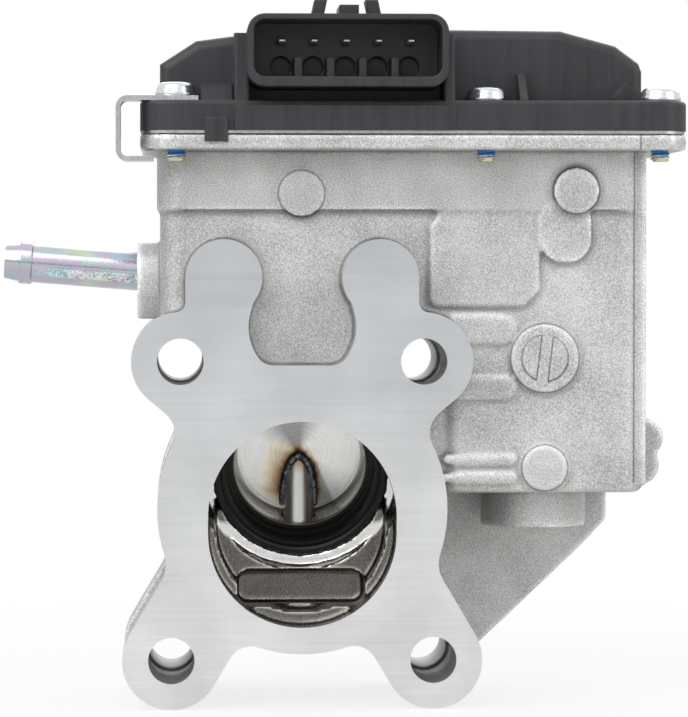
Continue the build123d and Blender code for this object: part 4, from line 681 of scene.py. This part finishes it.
def loose_centres(node_name):
    """Middle and top of each separate solid of a CAD node, in millimetres."""
    work = bmesh.new()
    work.from_mesh(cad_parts[node_name].data)
    bmesh.ops.remove_doubles(work, verts=work.verts, dist=1e-6)
    left, found = set(work.verts), []
    while left:
        stack, group = [left.pop()], []
        while stack:
            vert = stack.pop()
            group.append(vert.co.copy())
            for edge in vert.link_edges:
                other = edge.other_vert(vert)
                if other in left:
                    left.discard(other)
                    stack.append(other)
        low = [min(point[axis] for point in group) / MM for axis in range(3)]
        high = [max(point[axis] for point in group) / MM for axis in range(3)]
        found.append(((low[0] + high[0]) / 2, (low[1] + high[1]) / 2, high[2]))
    work.free()
    return sorted(found)


screw_work = bmesh.new()
for x, y, top in loose_centres("cover_screws"):
    steps = int((THREAD_TOP_Z - SCREW_TIP_Z) / THREAD_STEP)
    shank = [SCREW_TIP_Z + THREAD_STEP * step for step in range(steps + 1)]
    add_rings(screw_work, (x, y), shank, 40, thread_point)
    seat_z = top - HEAD_HEIGHT
    outline = [(THREAD_ROOT_R, THREAD_TOP_Z, False), (THREAD_ROOT_R, seat_z, False)]
    outline += [(HEAD_R - inward, seat_z + up, False) for inward, up in HEAD_RIM]
    for step in range(1, CROWN_STEPS + 1):
        lean = radians(90 * step / CROWN_STEPS)
        rise = CROWN_FOOT + (HEAD_HEIGHT - CROWN_FOOT) * sin(lean)
        outline.append((HEAD_R - CROWN_MIDDLE + CROWN_ROUND * cos(lean), seat_z + rise, False))
    outline += [(DRIVE_R - inward, top - down, True) for inward, down in DRIVE_WALL]
    outline.append((DRIVE_END[0], top - DRIVE_END[1], False))
    closing = add_rings(screw_work, (x, y), outline, 48, head_point)
    screw_work.faces.new(closing)
shade(screw_work, radians(50))
screw_mesh = bpy.data.meshes.new("pan_head_screws")
screw_work.to_mesh(screw_mesh)
screw_work.free()
screws = object_from(screw_mesh, "pan_head_screws")
screw_mesh.materials.append(screw_zinc)
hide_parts("cover_screws")
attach(screws, "housing")


# ---------------------------------------------------------------- coolant nipple
# A steel tube pressed into the casting, with a rolled bead that holds the hose. Its zinc passivation
# shimmers in lilac, teal and straw bands.
nipple_zinc, tree, shader, place = new_material("iridescent_zinc", (0.72, 0.76, 0.78), 0.12, 1.0)
NIPPLE_SLOPE, NIPPLE_AXIS_Z = -0.0787, 46.38
HIGHLIGHT_BAND_UP, HIGHLIGHT_BAND_ALONG = (-2.7, -0.5), (-53.5, -46.0)
drawn_out = add_node(tree, "ShaderNodeMapping", {"Vector": place, "Scale": (0.09, 0.22, 0.22)})
swirl = noise(tree, drawn_out.outputs[0], 1.0, 2.0)
sheen = colour_ramp(tree, swirl, (0.34, (0.42, 0.60, 0.62)), (0.44, (0.52, 0.57, 0.67)),
                    (0.52, (0.64, 0.53, 0.64)), (0.60, (0.50, 0.62, 0.64)), (0.68, (0.66, 0.70, 0.50)))
speckle = use_group(tree, cast_grain, {"Place": place, "Grain": 2.4, "Blotch": 0.35})
where = axes(tree, place)
axis_height = math_node(tree, "MULTIPLY_ADD", where[0], NIPPLE_SLOPE, NIPPLE_AXIS_Z)
# Painted highlight: in a band low on the tube's front the speckle is painted up to twice as bright as the
# base colour, and its bump is deeper
speckled_highlight_band = band(tree, math_node(tree, "SUBTRACT", where[2], axis_height), *HIGHLIGHT_BAND_UP, 0.4)
speckled_highlight_band = math_node(tree, "MULTIPLY", speckled_highlight_band, value_range(tree, where[0], *HIGHLIGHT_BAND_ALONG))
fleck = value_range(tree, speckle["Tone"], 0.4, 0.6, 0.6, 2.1)
fleck_tone = math_node(tree, "MULTIPLY_ADD", speckled_highlight_band, math_node(tree, "SUBTRACT", fleck, 1.0), 1.0)
tree.links.new(vector_math(tree, "SCALE", sheen, scale=fleck_tone), shader.inputs["Base Color"])
tree.links.new(value_range(tree, speckle["Tone"], 0.35, 0.65, 0.09, 0.2), shader.inputs["Roughness"])
band_bump_depth = math_node(tree, "MULTIPLY_ADD", speckled_highlight_band, 3.0, 1.0)
bump(tree, shader, math_node(tree, "MULTIPLY", speckle["Height"], band_bump_depth), 0.00005, 0.5)
finish_nodes(nipple_zinc, "coolant_nipple")


# ---------------------------------------------------------------- floor, light and camera
# A plain white floor under soft lamps and an even sky, with the camera in front of the flange, a
# little left of the part's middle and above it. Far from the part the floor glows a clean white.
FLOOR_HALF = 3.0
GLOW_FAR = (60.0, 260.0)
corners = [(x * FLOOR_HALF, y * FLOOR_HALF, 0) for x, y in ((-1, -1), (1, -1), (1, 1), (-1, 1))]
floor_mesh = bpy.data.meshes.new("floor")
floor_mesh.from_pydata(corners, [], [(0, 1, 2, 3)])
floor = object_from(floor_mesh, "floor")
floor.location.z = cad_box[0][2]
floor_paint, tree, shader, place = new_material("white_floor", (0.92, 0.92, 0.92), 0.9)
ray = add_node(tree, "ShaderNodeLightPath").outputs
tree.links.new(colour_mix(tree, ray["Is Glossy Ray"], (0.92, 0.92, 0.92, 1), (0.84, 0.84, 0.83, 1)),
               shader.inputs["Base Color"])
glow = add_node(tree, "ShaderNodeEmission", {"Color": (1, 1, 1, 1), "Strength": 1.0})
far_off = value_range(tree, vector_math(tree, "LENGTH", place), *GLOW_FAR, 0.82, 1.0)
shown = math_node(tree, "MULTIPLY", ray["Is Camera Ray"], far_off)
both = add_node(tree, "ShaderNodeMixShader", {0: shown, 1: shader.outputs[0], 2: glow.outputs[0]})
tree.links.new(both.outputs[0], tree.nodes["Material Output"].inputs["Surface"])
floor_mesh.materials.append(floor_paint)

# Diffuse light is even; metal sees a studio that is dark along the horizon and bright above it
world = bpy.data.worlds.new("studio")
bpy.context.scene.world = world
world.use_nodes = True
tree = world.node_tree
background = tree.nodes["Background"]
ray = add_node(tree, "ShaderNodeLightPath").outputs
direction = add_node(tree, "ShaderNodeTexCoord").outputs["Generated"]
height = value_range(tree, axes(tree, direction)[2], -0.2, 1.0)
studio = colour_ramp(tree, height, (0.14, (0.7, 0.72, 0.75)), (0.16, (0.22, 0.23, 0.25)),
                     (0.19, (0.22, 0.23, 0.25)), (0.23, (0.82, 0.83, 0.84)), (0.5, (0.87, 0.875, 0.885)),
                     (0.92, (0.95, 0.96, 0.98)))
mirrored = colour_mix(tree, ray["Is Glossy Ray"], (0.5, 0.5, 0.5, 1), studio)
tree.links.new(colour_mix(tree, ray["Is Camera Ray"], mirrored, (1, 1, 1, 1)), background.inputs["Color"])
background.inputs["Strength"].default_value = 1.0

AIM = Vector((0.008, 0.0, 0.0321))


def soft_lamp(name, place, size, power):
    """A rectangular lamp that faces the object."""
    light = bpy.data.lights.new(name, "AREA")
    light.shape = "RECTANGLE"
    light.size, light.size_y = size
    light.energy = power
    made = bpy.data.objects.new(name, light)
    bpy.context.scene.collection.objects.link(made)
    made.location = place
    made.rotation_euler = (AIM - Vector(place)).to_track_quat("-Z", "Y").to_euler()


soft_lamp("key_softbox", (-0.7, -0.9, 1.0), (1.5, 1.5), 12.0)
soft_lamp("right_softbox", (1.0, -0.6, 0.5), (0.8, 0.9), 2.6)
soft_lamp("rear_softbox", (0.3, 1.0, 0.9), (1.6, 1.2), 5.0)

camera_data = bpy.data.cameras.new("camera")
camera = bpy.data.objects.new("camera", camera_data)
bpy.context.scene.collection.objects.link(camera)
camera_data.sensor_width = 36
camera_data.lens = 177.5
camera_data.clip_start = 0.01
camera.location = (-0.02415, -0.680, 0.0499)
camera.rotation_euler = (AIM - camera.location).to_track_quat("-Z", "Y").to_euler()
bpy.context.scene.camera = camera
bpy.context.scene.view_settings.view_transform = "Standard"
